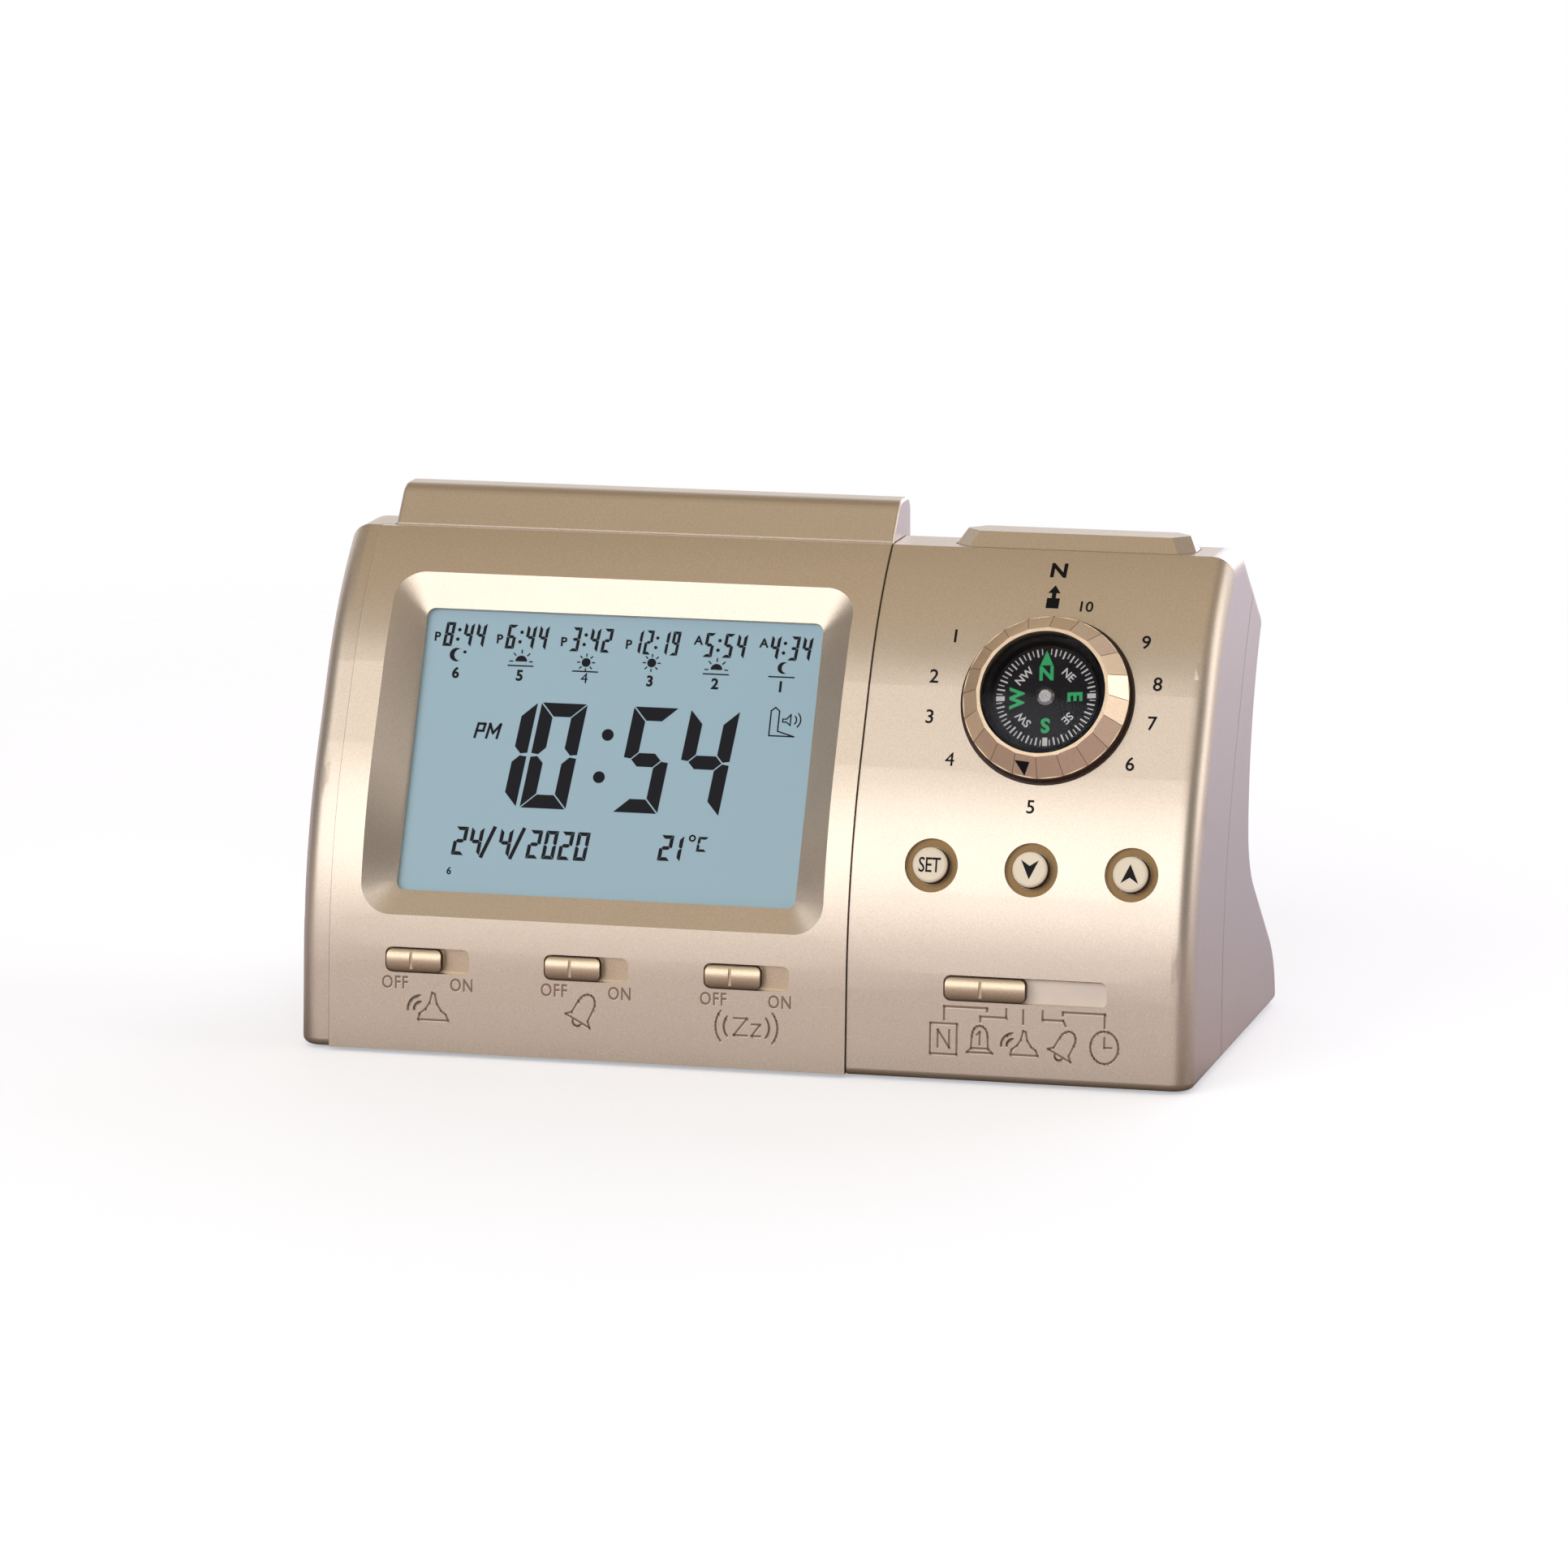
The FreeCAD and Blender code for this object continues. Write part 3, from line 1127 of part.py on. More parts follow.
node("switch_board", cut("switch_board_cut", strip_blank, *board_holes), frame=slide_frame)
strip_screw = screw("strip_screw", "tiny_head_radius", "tiny_head_height", "tiny_screw_radius",
                    "board_thick + tiny_screw_bite")
screws("strip_screws", strip_screw, [(str(x), "0 - strip_post_y") for x in STRIP_SPOTS], STRIP_BACK,
       slide_frame)

# ---------------------------------------------------------------- bar and light key on the top

BAR_FOOT = s.face_top + s.bar_step - s.bar_skirt
skirt_edges, skirt_end = path((FRONT + s.bar_front, BASE + BAR_FOOT), 0, [s.bar_skirt])
lean_edges, lean_end = path(skirt_end, s.bar_lean, [s.bar_face])
brow = (BASE + s.bar_top - lean_end[1]) / (1 - sines(s.bar_lean)[0])
brow_edges, brow_end = path(lean_end, s.bar_lean, [(brow, 90)])
rear_start = (FRONT + s.bar_back - s.bar_rear_round, brow_end[1])
rear_edges, rear_end = path(rear_start, 90, [(s.bar_rear_round, 180)])
foot_corner = (FRONT + s.bar_back, BASE + BAR_FOOT)
bar_side = closed([*skirt_edges, *lean_edges, *brow_edges, line(brow_end, rear_start), *rear_edges,
                   line(rear_end, foot_corner), line(foot_corner, (FRONT + s.bar_front, BASE + BAR_FOOT))])
bar_solid = run_across(bar_side, s.bar_left, s.fascia_right)
bar_block = solid("bar_block", bar_solid.makeFillet(
    s.bar_end_round, [e for e in bar_solid.Edges if e.BoundBox.XLength < 0.01
                      and e.BoundBox.ZMax > BASE + s.face_top + s.bar_step * 2]))
ends = s.bar_left + s.bar_wall, s.fascia_right - s.bar_wall
bar_hollow = solid("bar_hollow", run_across(bar_side.makeOffset2D(-s.bar_wall), *ends))
bar_mouth = solid("bar_mouth", block(ends, (s.bar_front + s.bar_wall, s.bar_back - s.bar_wall),
                                     (BAR_FOOT - 1, BAR_FOOT + s.bar_wall * 1.5)))
TAB_TOP = "face_top - wall - tab_drop"
tabs = [box(f"bar_tab_{i}", across, (back("shelf_front"), back("light_back")),
            (rise(f"{TAB_TOP} - tab_thick"), rise(TAB_TOP)))
        for i, across in enumerate([("bar_left - tab_length", "bar_left + bar_wall"),
                                    ("fascia_right - bar_wall", "fascia_right + tab_length")])]
SHELF_TOP = "shelf_rise + shelf_thick"
SWITCH_TOP = f"{SHELF_TOP} + top_tact_height + tact_plunger"
STEM_END = f"{SWITCH_TOP} + bar_travel + fit"
SPRING_TOP = "bar_top - bar_wall * 2.25"
BAR_MIDDLE = "(bar_left + fascia_right) / 2"
SPRING_PLACES = [f"{BAR_MIDDLE} + {side} * spring_x" for side in SIDES]
bar_stem = rod("bar_stem", "stem_width / 2", rise(STEM_END), rise("bar_top - bar_wall / 2"), BAR_MIDDLE,
               back("key_line"))
spring_seats = common("spring_seats", bar_block,
                      fuse("spring_discs", *[rod(f"spring_seat_{i}", "spring_radius + spring_wire",
                                                 rise(SPRING_TOP), rise("bar_top"), x, back("key_line"))
                                             for i, x in enumerate(SPRING_PLACES)]))
node("snooze_bar", fuse("snooze_bar_body", cut("bar_shell", bar_block, bar_hollow, bar_mouth), *tabs,
                        bar_stem, spring_seats))


def coil(name, radius, wire, pitch, length):
    """An open coil that stands along Z from 0, its wire run through rings set round the axis."""
    steps, sides, climb = 16, 8, length - wire
    count = round(climb / pitch * steps)
    lean = math.degrees(math.atan2(pitch, math.tau * radius))
    around = [math.tau * k / sides for k in range(sides + 1)]
    rings = []
    for i in range(count + 1):
        turn = FreeCAD.Rotation(V(0, 0, 1), 360 * i / steps)
        spot = turn.multVec(V(radius, 0, wire / 2 + climb * i / count))
        seat = FreeCAD.Placement(spot, turn.multiply(FreeCAD.Rotation(V(1, 0, 0), lean - 90)))
        rings.append(Part.makePolygon([seat.multVec(V(math.cos(a), math.sin(a), 0) * (wire / 2))
                                       for a in around]))
    return solid(name, Part.makeLoft(rings, True, True))


spring_length = number(SPRING_TOP) - number(SHELF_TOP)
bar_spring = coil("bar_spring", s.spring_radius, s.spring_wire, s.spring_pitch, spring_length)
spring_spots = [V(number(x), number(back("key_line")), BASE + number(SHELF_TOP)) for x in SPRING_PLACES]
node("snooze_springs", *[placed(f"bar_spring_{i}", FreeCAD.Placement(spot, FreeCAD.Rotation()), bar_spring)
                         for i, spot in enumerate(spring_spots)])

light_base = [V(number(x), number(y), BASE + s.face_top) for x, y in octagon("0")]
mid_x, mid_y = (s.light_left + s.light_right) / 2, FRONT + s.light_back - s.light_corner


def drawn_in(point):
    """A corner of the light key's foot, moved in to the key's top."""
    toward = math.copysign(s.light_end_slope, mid_x - point.x)
    inset = s.light_front_slope if point.y < mid_y - 0.01 else -s.light_back_slope
    return V(point.x + toward, point.y + inset, point.z + s.light_height)


light_rims = [Part.makePolygon(points + points[:1])
              for points in (light_base, [drawn_in(p) for p in light_base])]
light_top = solid("light_key_top", Part.makeLoft(light_rims, True, True))
light_body = prism("light_key_body", octagon("0"), rise(f"{TAB_TOP} - tab_thick"), rise("face_top"))
light_flange = box("light_key_flange", ("light_left - tab_length", "light_right + tab_length"),
                   (back("shelf_front"), back("light_back")),
                   (rise(f"{TAB_TOP} - tab_thick"), rise(TAB_TOP)))
LIGHT_MIDDLE = "(light_left + light_right) / 2"
light_stem = rod("light_key_stem", "stem_width / 2", rise(STEM_END), rise(f"{TAB_TOP} - tab_thick / 2"),
                 LIGHT_MIDDLE, back("key_line"))
node("light_button", fuse("light_key", light_top, light_body, light_flange, light_stem))
node("key_shelf", box("shelf", ("0 - width / 2 + wall + top_gap", "width / 2 - wall - top_gap"),
                      (back("shelf_front"), back("shelf_back")), (rise("shelf_rise"), rise(SHELF_TOP))))
high_tact = tact("high_tact", "top_tact_height")
node("top_switches", *[placed(f"high_tact_{i}", FreeCAD.Placement(
    V(number(x), number(back("key_line")), BASE + number(SHELF_TOP)), FreeCAD.Rotation()), high_tact)
    for i, x in enumerate([BAR_MIDDLE, LIGHT_MIDDLE])])

# ---------------------------------------------------------------- speaker and batteries

RIM = "0 - wall - fit * 3"
RIM_BACK, DISH = f"{RIM} - speaker_rim", f"{RIM} - speaker_depth"
node("speaker_basket", turned("basket", ("0", DISH), ("magnet_radius + 1", DISH),
                              ("speaker_radius - 1.6", RIM_BACK), ("speaker_radius", RIM_BACK),
                              ("speaker_radius", RIM), ("speaker_radius - 2.4", RIM),
                              ("speaker_radius - 2.4", f"{RIM_BACK} + 0.1"),
                              ("magnet_radius + 0.7", f"{DISH} + 0.8"), ("0", f"{DISH} + 0.8")),
     frame=speaker_frame)
node("speaker_magnet", rod("magnet", "magnet_radius", f"{DISH} - magnet_height", DISH), frame=speaker_frame)
CONE_LOW, CONE_HIGH = f"{RIM} - speaker_depth * 0.55", f"{RIM} - cone_thick"
node("speaker_cone", turned("cone", ("0", CONE_LOW), ("cone_radius / 3", CONE_LOW),
                            ("cone_radius", CONE_HIGH), ("cone_radius", f"{CONE_HIGH} + cone_thick * 0.8"),
                            ("cone_radius / 3", f"{CONE_LOW} + cone_thick"),
                            ("0", f"{CONE_LOW} + cone_thick")), frame=speaker_frame)
NUB_END = "bay_half - contact_thick"
CELL_END = f"{NUB_END} - cell_length"
cell = fuse("cell", cross_rod("cell_body", "cell_radius", CELL_END, f"{NUB_END} - 1", "0", "0", ALONG),
            cross_rod("cell_nub", "2.75", f"{NUB_END} - 1.5", NUB_END, "0", "0", ALONG))
cell_rows = [(y, FreeCAD.Rotation(V(0, 0, 1), turn))
             for y, turn in [(s.cell_front, 0), (s.cell_front + s.cell_pitch, 180)]]
cell_places = [FreeCAD.Placement(V(0, FRONT + y, BASE + s.cell_rise), turn) for y, turn in cell_rows]
node("battery_cells", *[placed(f"cell_{i}", place, cell) for i, place in enumerate(cell_places)])
gap_there = number(f"{CELL_END} + {NUB_END}")
cell_coil = coil("cell_coil", s.coil_radius, s.coil_wire, gap_there / 3.5, gap_there)
coil_seat = FreeCAD.Placement(V(-number(NUB_END), 0, 0), FreeCAD.Rotation(V(0, 1, 0), 90))
node("battery_springs", *[placed(f"cell_coil_{i}", place.multiply(coil_seat), cell_coil)
                          for i, place in enumerate(cell_places)])
plate_half = "coil_radius * 1.5"
contacts = [box(f"contact_{i}", ends_of, (f"0 - {plate_half}", plate_half), (f"0 - {plate_half}", plate_half))
            for i, ends_of in enumerate([(NUB_END, "bay_half"), ("0 - bay_half", f"0 - ({NUB_END})")])]
node("battery_plates", *[placed(f"contacts_{i}", place, *contacts) for i, place in enumerate(cell_places)])

# ---------------------------------------------------------------- checks, then one file a piece

doc.recompute()
for thing in doc.Objects:
    if {"Invalid", "Error"} & set(thing.State):
        raise SystemExit(f"{thing.Name} did not recompute")
os.makedirs("parts", exist_ok=True)
for piece in NODES:
    if piece.Shape.isNull() or not piece.Shape.isValid() or not piece.Shape.Solids:
        raise SystemExit(f"{piece.Label} has no sound shape")
    piece.Shape.exportStep(f"parts/{piece.Label}.step")
    print(piece.Label, len(piece.Shape.Solids), round(piece.Shape.Volume, 1))
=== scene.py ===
import math

import bmesh
import bpy
from mathutils import Matrix, Vector


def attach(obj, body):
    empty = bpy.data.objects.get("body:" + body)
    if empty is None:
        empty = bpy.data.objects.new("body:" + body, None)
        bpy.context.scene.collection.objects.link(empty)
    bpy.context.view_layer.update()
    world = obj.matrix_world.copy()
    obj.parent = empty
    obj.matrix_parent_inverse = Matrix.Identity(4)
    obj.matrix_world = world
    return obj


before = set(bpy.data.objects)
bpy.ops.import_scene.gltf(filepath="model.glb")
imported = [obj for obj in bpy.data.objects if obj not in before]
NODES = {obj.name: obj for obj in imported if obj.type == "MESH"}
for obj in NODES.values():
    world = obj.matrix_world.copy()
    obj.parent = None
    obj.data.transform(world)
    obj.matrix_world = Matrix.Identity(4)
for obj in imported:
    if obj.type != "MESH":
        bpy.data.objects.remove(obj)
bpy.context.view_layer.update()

MM = 0.001
DEG = math.radians


# ---------------------------------------------------------------- node helpers


def adder(tree):
    """A function that adds a node: in_NAME or in_INDEX sets or links an input, the rest are settings."""

    def add(kind, **given):
        node = tree.nodes.new(kind)
        for key, value in given.items():
            if not key.startswith("in_"):
                setattr(node, key, value)
                continue
            label = key[3:].replace("_", " ")
            socket = node.inputs[int(label) if label.isdigit() else label]
            if isinstance(value, bpy.types.NodeSocket):
                tree.links.new(value, socket)
            else:
                socket.default_value = value
        return node

    return add


def noise(add, where, scale, detail=2.0):
    return add("ShaderNodeTexNoise", in_Vector=where, in_Scale=scale, in_Detail=detail).outputs["Fac"]


def mapped(add, value, low, high, start=0.0, end=1.0):
    """A value mapped from start..end to low..high."""
    node = add("ShaderNodeMapRange", in_Value=value, in_From_Min=start, in_From_Max=end,
               in_To_Min=low, in_To_Max=high)
    return node.outputs["Result"]


def maths(add, operation, first, second):
    return add("ShaderNodeMath", operation=operation, in_0=first, in_1=second).outputs["Value"]


def mixed(add, amount, first, second):
    """Two colours mixed by an amount."""
    return add("ShaderNodeMix", data_type="RGBA", in_0=amount, in_6=first, in_7=second).outputs[2]


def ramp(add, value, stops):
    """A colour looked up in stops, each a place and a colour."""
    node = add("ShaderNodeValToRGB", in_Fac=value)
    elements = node.color_ramp.elements
    for place, _ in stops[1:-1]:
        elements.new(place)
    for element, (place, colour) in zip(elements, stops):
        element.position = place
        element.color = (*colour, 1)
    return node.outputs["Color"]


def material(name):
    """A node material, its Principled shader, and the functions that add and link nodes."""
    made = bpy.data.materials.new(name)
    made.use_nodes = True
    tree = made.node_tree
    return made, tree.nodes["Principled BSDF"], adder(tree), tree.links.new


# ---------------------------------------------------------------- materials


def surface_group(name, tint_noise, tint_range, relief, gloss_noise, swing):
    """A group that varies a tint and a roughness by noise, and gives a height for the bump.

    A noise is its scale and detail, and tint_range its low, high, start and end. A relief of None
    takes its scale from the group's own Size, and a gloss noise of None is the relief again.
    """
    tree = bpy.data.node_groups.new(name, "ShaderNodeTree")
    add = adder(tree)
    sockets = [("INPUT", "Tint", "Color"), ("INPUT", "Rough", "Float"), ("OUTPUT", "Color", "Color"),
               ("OUTPUT", "Roughness", "Float"), ("OUTPUT", "Height", "Float")]
    if relief is None:
        sockets.append(("INPUT", "Size", "Float"))
    for way, label, kind in sockets:
        tree.interface.new_socket(label, in_out=way, socket_type=f"NodeSocket{kind}")
    given = add("NodeGroupInput")
    where = add("ShaderNodeTexCoord").outputs["Object"]
    height = noise(add, where, *relief) if relief else noise(add, where, given.outputs["Size"])
    gloss = noise(add, where, *gloss_noise) if gloss_noise else height
    amount = mapped(add, noise(add, where, *tint_noise), *tint_range)
    tinted = add("ShaderNodeVectorMath", operation="SCALE", in_0=given.outputs["Tint"], in_Scale=amount)
    rough = maths(add, "ADD", given.outputs["Rough"], mapped(add, gloss, -swing, swing))
    add("NodeGroupOutput", in_Color=tinted.outputs["Vector"], in_Roughness=rough, in_Height=height)
    return tree


# Sprayed metallic paint has flakes that vary its tint a little, an orange peel for the bump, and
# broad, faint unevenness in the gloss. Moulded plastic has a soft mottle and one fine grain.
FLAKES = surface_group("metal_flakes", tint_noise=(5200, 1), tint_range=(0.9, 1.08, 0.3, 0.7),
                       relief=(900, 2), gloss_noise=(60, 2), swing=0.03)
GRAIN = surface_group("moulded_grain", tint_noise=(150, 2), tint_range=(0.88, 1.12),
                      relief=None, gloss_noise=None, swing=0.06)
RELIEF, PLATED_RELIEF = 0.00005, 0.00003
MOULDED_SIZE, PLATED_SIZE = 2500, 1800


def finish_with(name, group, tint, rough, bump, distance, size=None, **sockets):
    """A material whose colour, roughness and bump come from a shared group."""
    made, shader, add, link = material(name)
    surface = add("ShaderNodeGroup", node_tree=group, in_Tint=(*tint, 1), in_Rough=rough)
    if size:
        surface.inputs["Size"].default_value = size
    relief = add("ShaderNodeBump", in_Strength=bump, in_Distance=distance,
                 in_Height=surface.outputs["Height"])
    link(surface.outputs["Color"], shader.inputs["Base Color"])
    link(surface.outputs["Roughness"], shader.inputs["Roughness"])
    link(relief.outputs["Normal"], shader.inputs["Normal"])
    for label, value in sockets.items():
        shader.inputs[label.replace("_", " ")].default_value = value
    return made


def painted(name, tint, rough=0.36):
    return finish_with(name, FLAKES, tint, rough, 0.12, RELIEF, Metallic=0.8, Coat_Weight=0.15,
                       Coat_Roughness=0.25)


def moulded(name, tint, rough=0.5, bump=0.25, **sockets):
    return finish_with(name, GRAIN, tint, rough, bump, RELIEF, MOULDED_SIZE, **sockets)


def plated(name, tint, rough):
    return finish_with(name, GRAIN, tint, rough, 0.08, PLATED_RELIEF, PLATED_SIZE, Metallic=1.0)


GOLD = painted("champagne_paint", (0.62, 0.525, 0.42))
FASCIA_GOLD = painted("fascia_paint", (0.63, 0.53, 0.42))
RING_GOLD = painted("ring_paint", (0.77, 0.60, 0.42), rough=0.26)
KNOB_GOLD = painted("knob_paint", (0.58, 0.46, 0.32), rough=0.34)
CREAM = moulded("key_cream", (0.80, 0.70, 0.52), rough=0.38, bump=0.1)
BLACK = moulded("compass_black", (0.006, 0.005, 0.010), rough=0.3, bump=0.05, Specular_IOR_Level=0.15)
DARK = moulded("switch_black", (0.02, 0.02, 0.02), rough=0.5)
GREY = moulded("inner_grey", (0.22, 0.22, 0.215), rough=0.55)
RUBBER = moulded("foot_rubber", (0.02, 0.02, 0.02), rough=0.8, bump=0.5)
MILKY = moulded("light_guide", (0.8, 0.83, 0.85), rough=0.4, bump=0.05)
BOARD = moulded("solder_mask", (0.01, 0.10, 0.04), rough=0.35, bump=0.15)
STEEL = plated("plated_steel", (0.55, 0.55, 0.56), 0.28)
BRASS = plated("contact_metal", (0.62, 0.56, 0.45), 0.25)
FERRITE = moulded("ferrite", (0.035, 0.035, 0.04), rough=0.6)
PULP = moulded("cone_pulp", (0.015, 0.015, 0.015), rough=0.9, bump=0.6)
CELL = moulded("cell_wrap", (0.03, 0.035, 0.05), rough=0.3, bump=0.05)
ZEBRA = moulded("contact_rubber", (0.4, 0.22, 0.26), rough=0.7)
INK = moulded("printed_ink", (0.006, 0.006, 0.007), rough=0.45, bump=0.05, Specular_IOR_Level=0.1)
SEGMENT = moulded("lcd_segment", (0.006, 0.006, 0.009), rough=0.35, bump=0.02, Specular_IOR_Level=0.1)
WHITE_INK = moulded("white_ink", (0.85, 0.85, 0.85), rough=0.5, bump=0.05)
GREEN_INK = moulded("green_ink", (0.02, 0.56, 0.17), rough=0.5, bump=0.05)
LINER = moulded("slot_liner", (0.78, 0.68, 0.56), rough=0.5, bump=0.1)
IVORY = moulded("switch_ivory", (0.85, 0.77, 0.66), rough=0.5, bump=0.1)
# Dark paint put where there is only shade: a painted shadow round the ring and under the mode slot's edge,
# and painted shade on the ring's skirt and on the flanks of the keys and slides.
SHADE = moulded("painted_shade_brown", (0.040, 0.013, 0.004), rough=0.6, bump=0.1)
# Painted shade on the floors of the key wells.
WELL_SHADE = painted("key_well_shade_paint", (0.175, 0.10, 0.034), rough=0.42)
# Painted shade in the sunk signs and words and between the ring's facets.
SUNK_SHADE = painted("painted_sunk_shade", (0.25, 0.17, 0.11), rough=0.5)
# A painted highlight on the lower edges of the sunk signs and words.
LIT = painted("painted_edge_highlight", (0.80, 0.72, 0.62), rough=0.3)


def clear_material():
    """Clear acrylic, with a trace of haze in its gloss."""
    made, shader, add, link = material("clear_acrylic")
    haze = noise(add, add("ShaderNodeTexCoord").outputs["Object"], 300)
    link(mapped(add, haze, 0.02, 0.06), shader.inputs["Roughness"])
    shader.inputs["Transmission Weight"].default_value = 1
    shader.inputs["IOR"].default_value = 1.02
    shader.inputs["Coat Weight"].default_value = 0.12
    shader.inputs["Coat Roughness"].default_value = 0.08
    return made


def panel_material():
    """The liquid crystal cell: bluish grey, faintly clouded, with a fine grain in its gloss."""
    made, shader, add, link = material("liquid_crystal")
    where = add("ShaderNodeTexCoord").outputs["Object"]
    tint = mixed(add, noise(add, where, 25), (0.29, 0.452, 0.525, 1), (0.31, 0.47, 0.54, 1))
    link(tint, shader.inputs["Base Color"])
    link(mapped(add, noise(add, where, 4000), 0.28, 0.36), shader.inputs["Roughness"])
    return made


CLEAR = clear_material()
PANEL = panel_material()

# What each CAD piece is made of.
for finish, names in [
        (GOLD, "front_shell rear_cover battery_door snooze_bar light_button"),
        (FASCIA_GOLD, "display_fascia"),
        (KNOB_GOLD, "azan_knob alarm_knob snooze_knob mode_knob"),
        (RING_GOLD, "city_ring"),
        (CREAM, "set_button down_button up_button"),
        (LINER, "mode_liner"),
        (RUBBER, "rubber_feet"),
        (PANEL, "lcd_glass"),
        (MILKY, "lcd_light_guide backlight_leds"),
        (ZEBRA, "contact_strip"),
        (GREY, "lcd_holder selector_bridge"),
        (BOARD, "main_board selector_board switch_board key_shelf"),
        (DARK, "button_switches top_switches chip_blob"),
        (IVORY, "slide_switches"),
        (BLACK, "compass_base compass_card"),
        (CLEAR, "compass_dome"),
        (BRASS, "ring_wiper compass_pivot"),
        (STEEL, "casing_screws display_screws selector_screws strip_screws clock_crystal snooze_springs "
                "battery_springs battery_plates speaker_basket compass_cap"),
        (FERRITE, "speaker_magnet"),
        (PULP, "speaker_cone"),
        (CELL, "battery_cells")]:
    for name in names.split():
        NODES[name].data.materials.clear()
        NODES[name].data.materials.append(finish)

# ---------------------------------------------------------------- places on the curved face

DEPTH, BASE = 74 * MM, 0.5 * MM
TOE_LEAN, FACE_LEAN = DEG(3.4), DEG(26.8)
TOE, SLOPE = 14.3 * MM, 14 * MM
KNEE_R, BROW_R = 89 * MM, 64.6 * MM
# The face from its foot up: a length and, where it bends, a radius.
STRETCHES = [(TOE, None), (KNEE_R * (FACE_LEAN - TOE_LEAN), KNEE_R), (SLOPE, None), (BROW_R, BROW_R)]
HIGHEST_RUN = 0.12


def at_run(run, proud=0.0):
    """The y and z of the face at a distance up along it, stood proud of it, and its lean there."""
    y, z, lean = -DEPTH / 2, BASE, TOE_LEAN
    for length, radius in STRETCHES:
        step = min(run, length)
        if radius:
            turned_to = lean + step / radius
            y += radius * (math.cos(lean) - math.cos(turned_to))
            z += radius * (math.sin(turned_to) - math.sin(lean))
            lean = turned_to
        else:
            y += step * math.sin(lean)
            z += step * math.cos(lean)
        run -= step
        if run <= 0:
            break
    return y - proud * math.cos(lean), z + proud * math.sin(lean), lean


def run_to(height):
    """The distance up along the face at which it is that high above its base."""
    low, high = 0.0, HIGHEST_RUN
    for _ in range(40):
        middle = (low + high) / 2
        low, high = (middle, high) if at_run(middle)[1] < BASE + height else (low, middle)
    return low


def wrap(piece, x, rise, proud=0.0):
    """Lays a flat mesh, drawn about its own origin, on the face at x and a height above the base."""
    start = run_to(rise * MM)
    for vertex in piece.data.vertices:
        along, up, out = vertex.co
        y, z, _ = at_run(start + up, proud + out)
        vertex.co = (x * MM + along, y, z)
    piece.data.update()


def frame_on_face(x, rise, lean=None, depth=0.0):
    """Axes on the face, or below it by a depth: X to the right, Y up the slope and Z out of it."""
    y, z, own = at_run(run_to(rise * MM))
    lean = own if lean is None else DEG(lean)
    out = Vector((0, -math.cos(lean), math.sin(lean)))
    up = Vector((0, math.sin(lean), math.cos(lean)))
    turn = Matrix((Vector((1, 0, 0)), up, out)).transposed().to_4x4()
    return Matrix.Translation(Vector((x * MM, y, z)) - out * depth * MM) @ turn


RING_X, RING_RISE = 47.8, 60.3
RING = frame_on_face(RING_X, RING_RISE)
WINDOW = frame_on_face(-25.3, 49.65, 24.6, 3.96)
PANEL_FACE = WINDOW @ Matrix.Translation((0, 0, -1.0 * MM))
SLIDES = frame_on_face(0, 15.2)
# Flat artwork is this thick (metres), and its base is let into the face a little. A capital
# stands this share of its font's size.
DIAL, FILM, PRINT, SIGN = 0.00004, 0.00005, 0.00006, 0.00007
LET_IN = -0.00001
CAPITAL = 0.7


# ---------------------------------------------------------------- flat artwork as thin meshes


def linked(name, data):
    made = bpy.data.objects.new(name, data)
    bpy.context.collection.objects.link(made)
    return made


def piece_from(name, shape, finish, body="casing", place=None):
    """A piece that rides on a body, from a bmesh or a mesh, moved by a matrix."""
    if isinstance(shape, bmesh.types.BMesh):
        mesh = bpy.data.meshes.new(name)
        bmesh.ops.recalc_face_normals(shape, faces=shape.faces)
        shape.to_mesh(mesh)
        shape.free()
    else:
        mesh = shape
    if place is not None:
        mesh.transform(place)
    piece = linked(name, mesh)
    mesh.materials.clear()
    mesh.materials.append(finish)
    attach(piece, body)
    return piece


def slab(bm, points, thick, base=0.0):
    """Adds a polygon (millimetres) raised from base by thick (metres)."""
    low = [bm.verts.new((x * MM, y * MM, base)) for x, y in points]
    high = [bm.verts.new((x * MM, y * MM, base + thick)) for x, y in points]
    bm.faces.new(high)
    bm.faces.new(low[::-1])
    for i in range(len(points)):
        j = (i + 1) % len(points)
        bm.faces.new((low[i], low[j], high[j], high[i]))


def stroke(bm, points, width, thick, closed=False):
    """Adds a ribbon of even width along points (millimetres)."""
    count = len(points)
    for i in range(count if closed else count - 1):
        (ax, ay), (bx, by) = points[i], points[(i + 1) % count]
        length = math.hypot(bx - ax, by - ay) or 1
        ux, uy = (bx - ax) / length, (by - ay) / length
        nx, ny = -uy * width / 2, ux * width / 2
        ax, ay = ax - ux * width / 2, ay - uy * width / 2
        bx, by = bx + ux * width / 2, by + uy * width / 2
        slab(bm, [(ax + nx, ay + ny), (ax - nx, ay - ny), (bx - nx, by - ny), (bx + nx, by + ny)], thick)


def band(bm, rims):
    """Adds a closed band between like loops of points (millimetres), the last joined to the first."""
    rims = [[bm.verts.new([c * MM for c in point]) for point in rim] for rim in rims]
    for inner, outer in zip(rims, rims[1:] + rims[:1]):
        for k in range(len(inner)):
            bm.faces.new((inner[k - 1], inner[k], outer[k], outer[k - 1]))


def hoop(bm, inner, outer, low, high, steps=96):
    """Adds a ring of rectangular section (millimetres) about Z."""
    turns = [math.tau * k / steps for k in range(steps)]
    band(bm, [[(radius * math.cos(a), radius * math.sin(a), z) for a in turns]
              for radius, z in ((inner, low), (outer, low), (outer, high), (inner, high))])


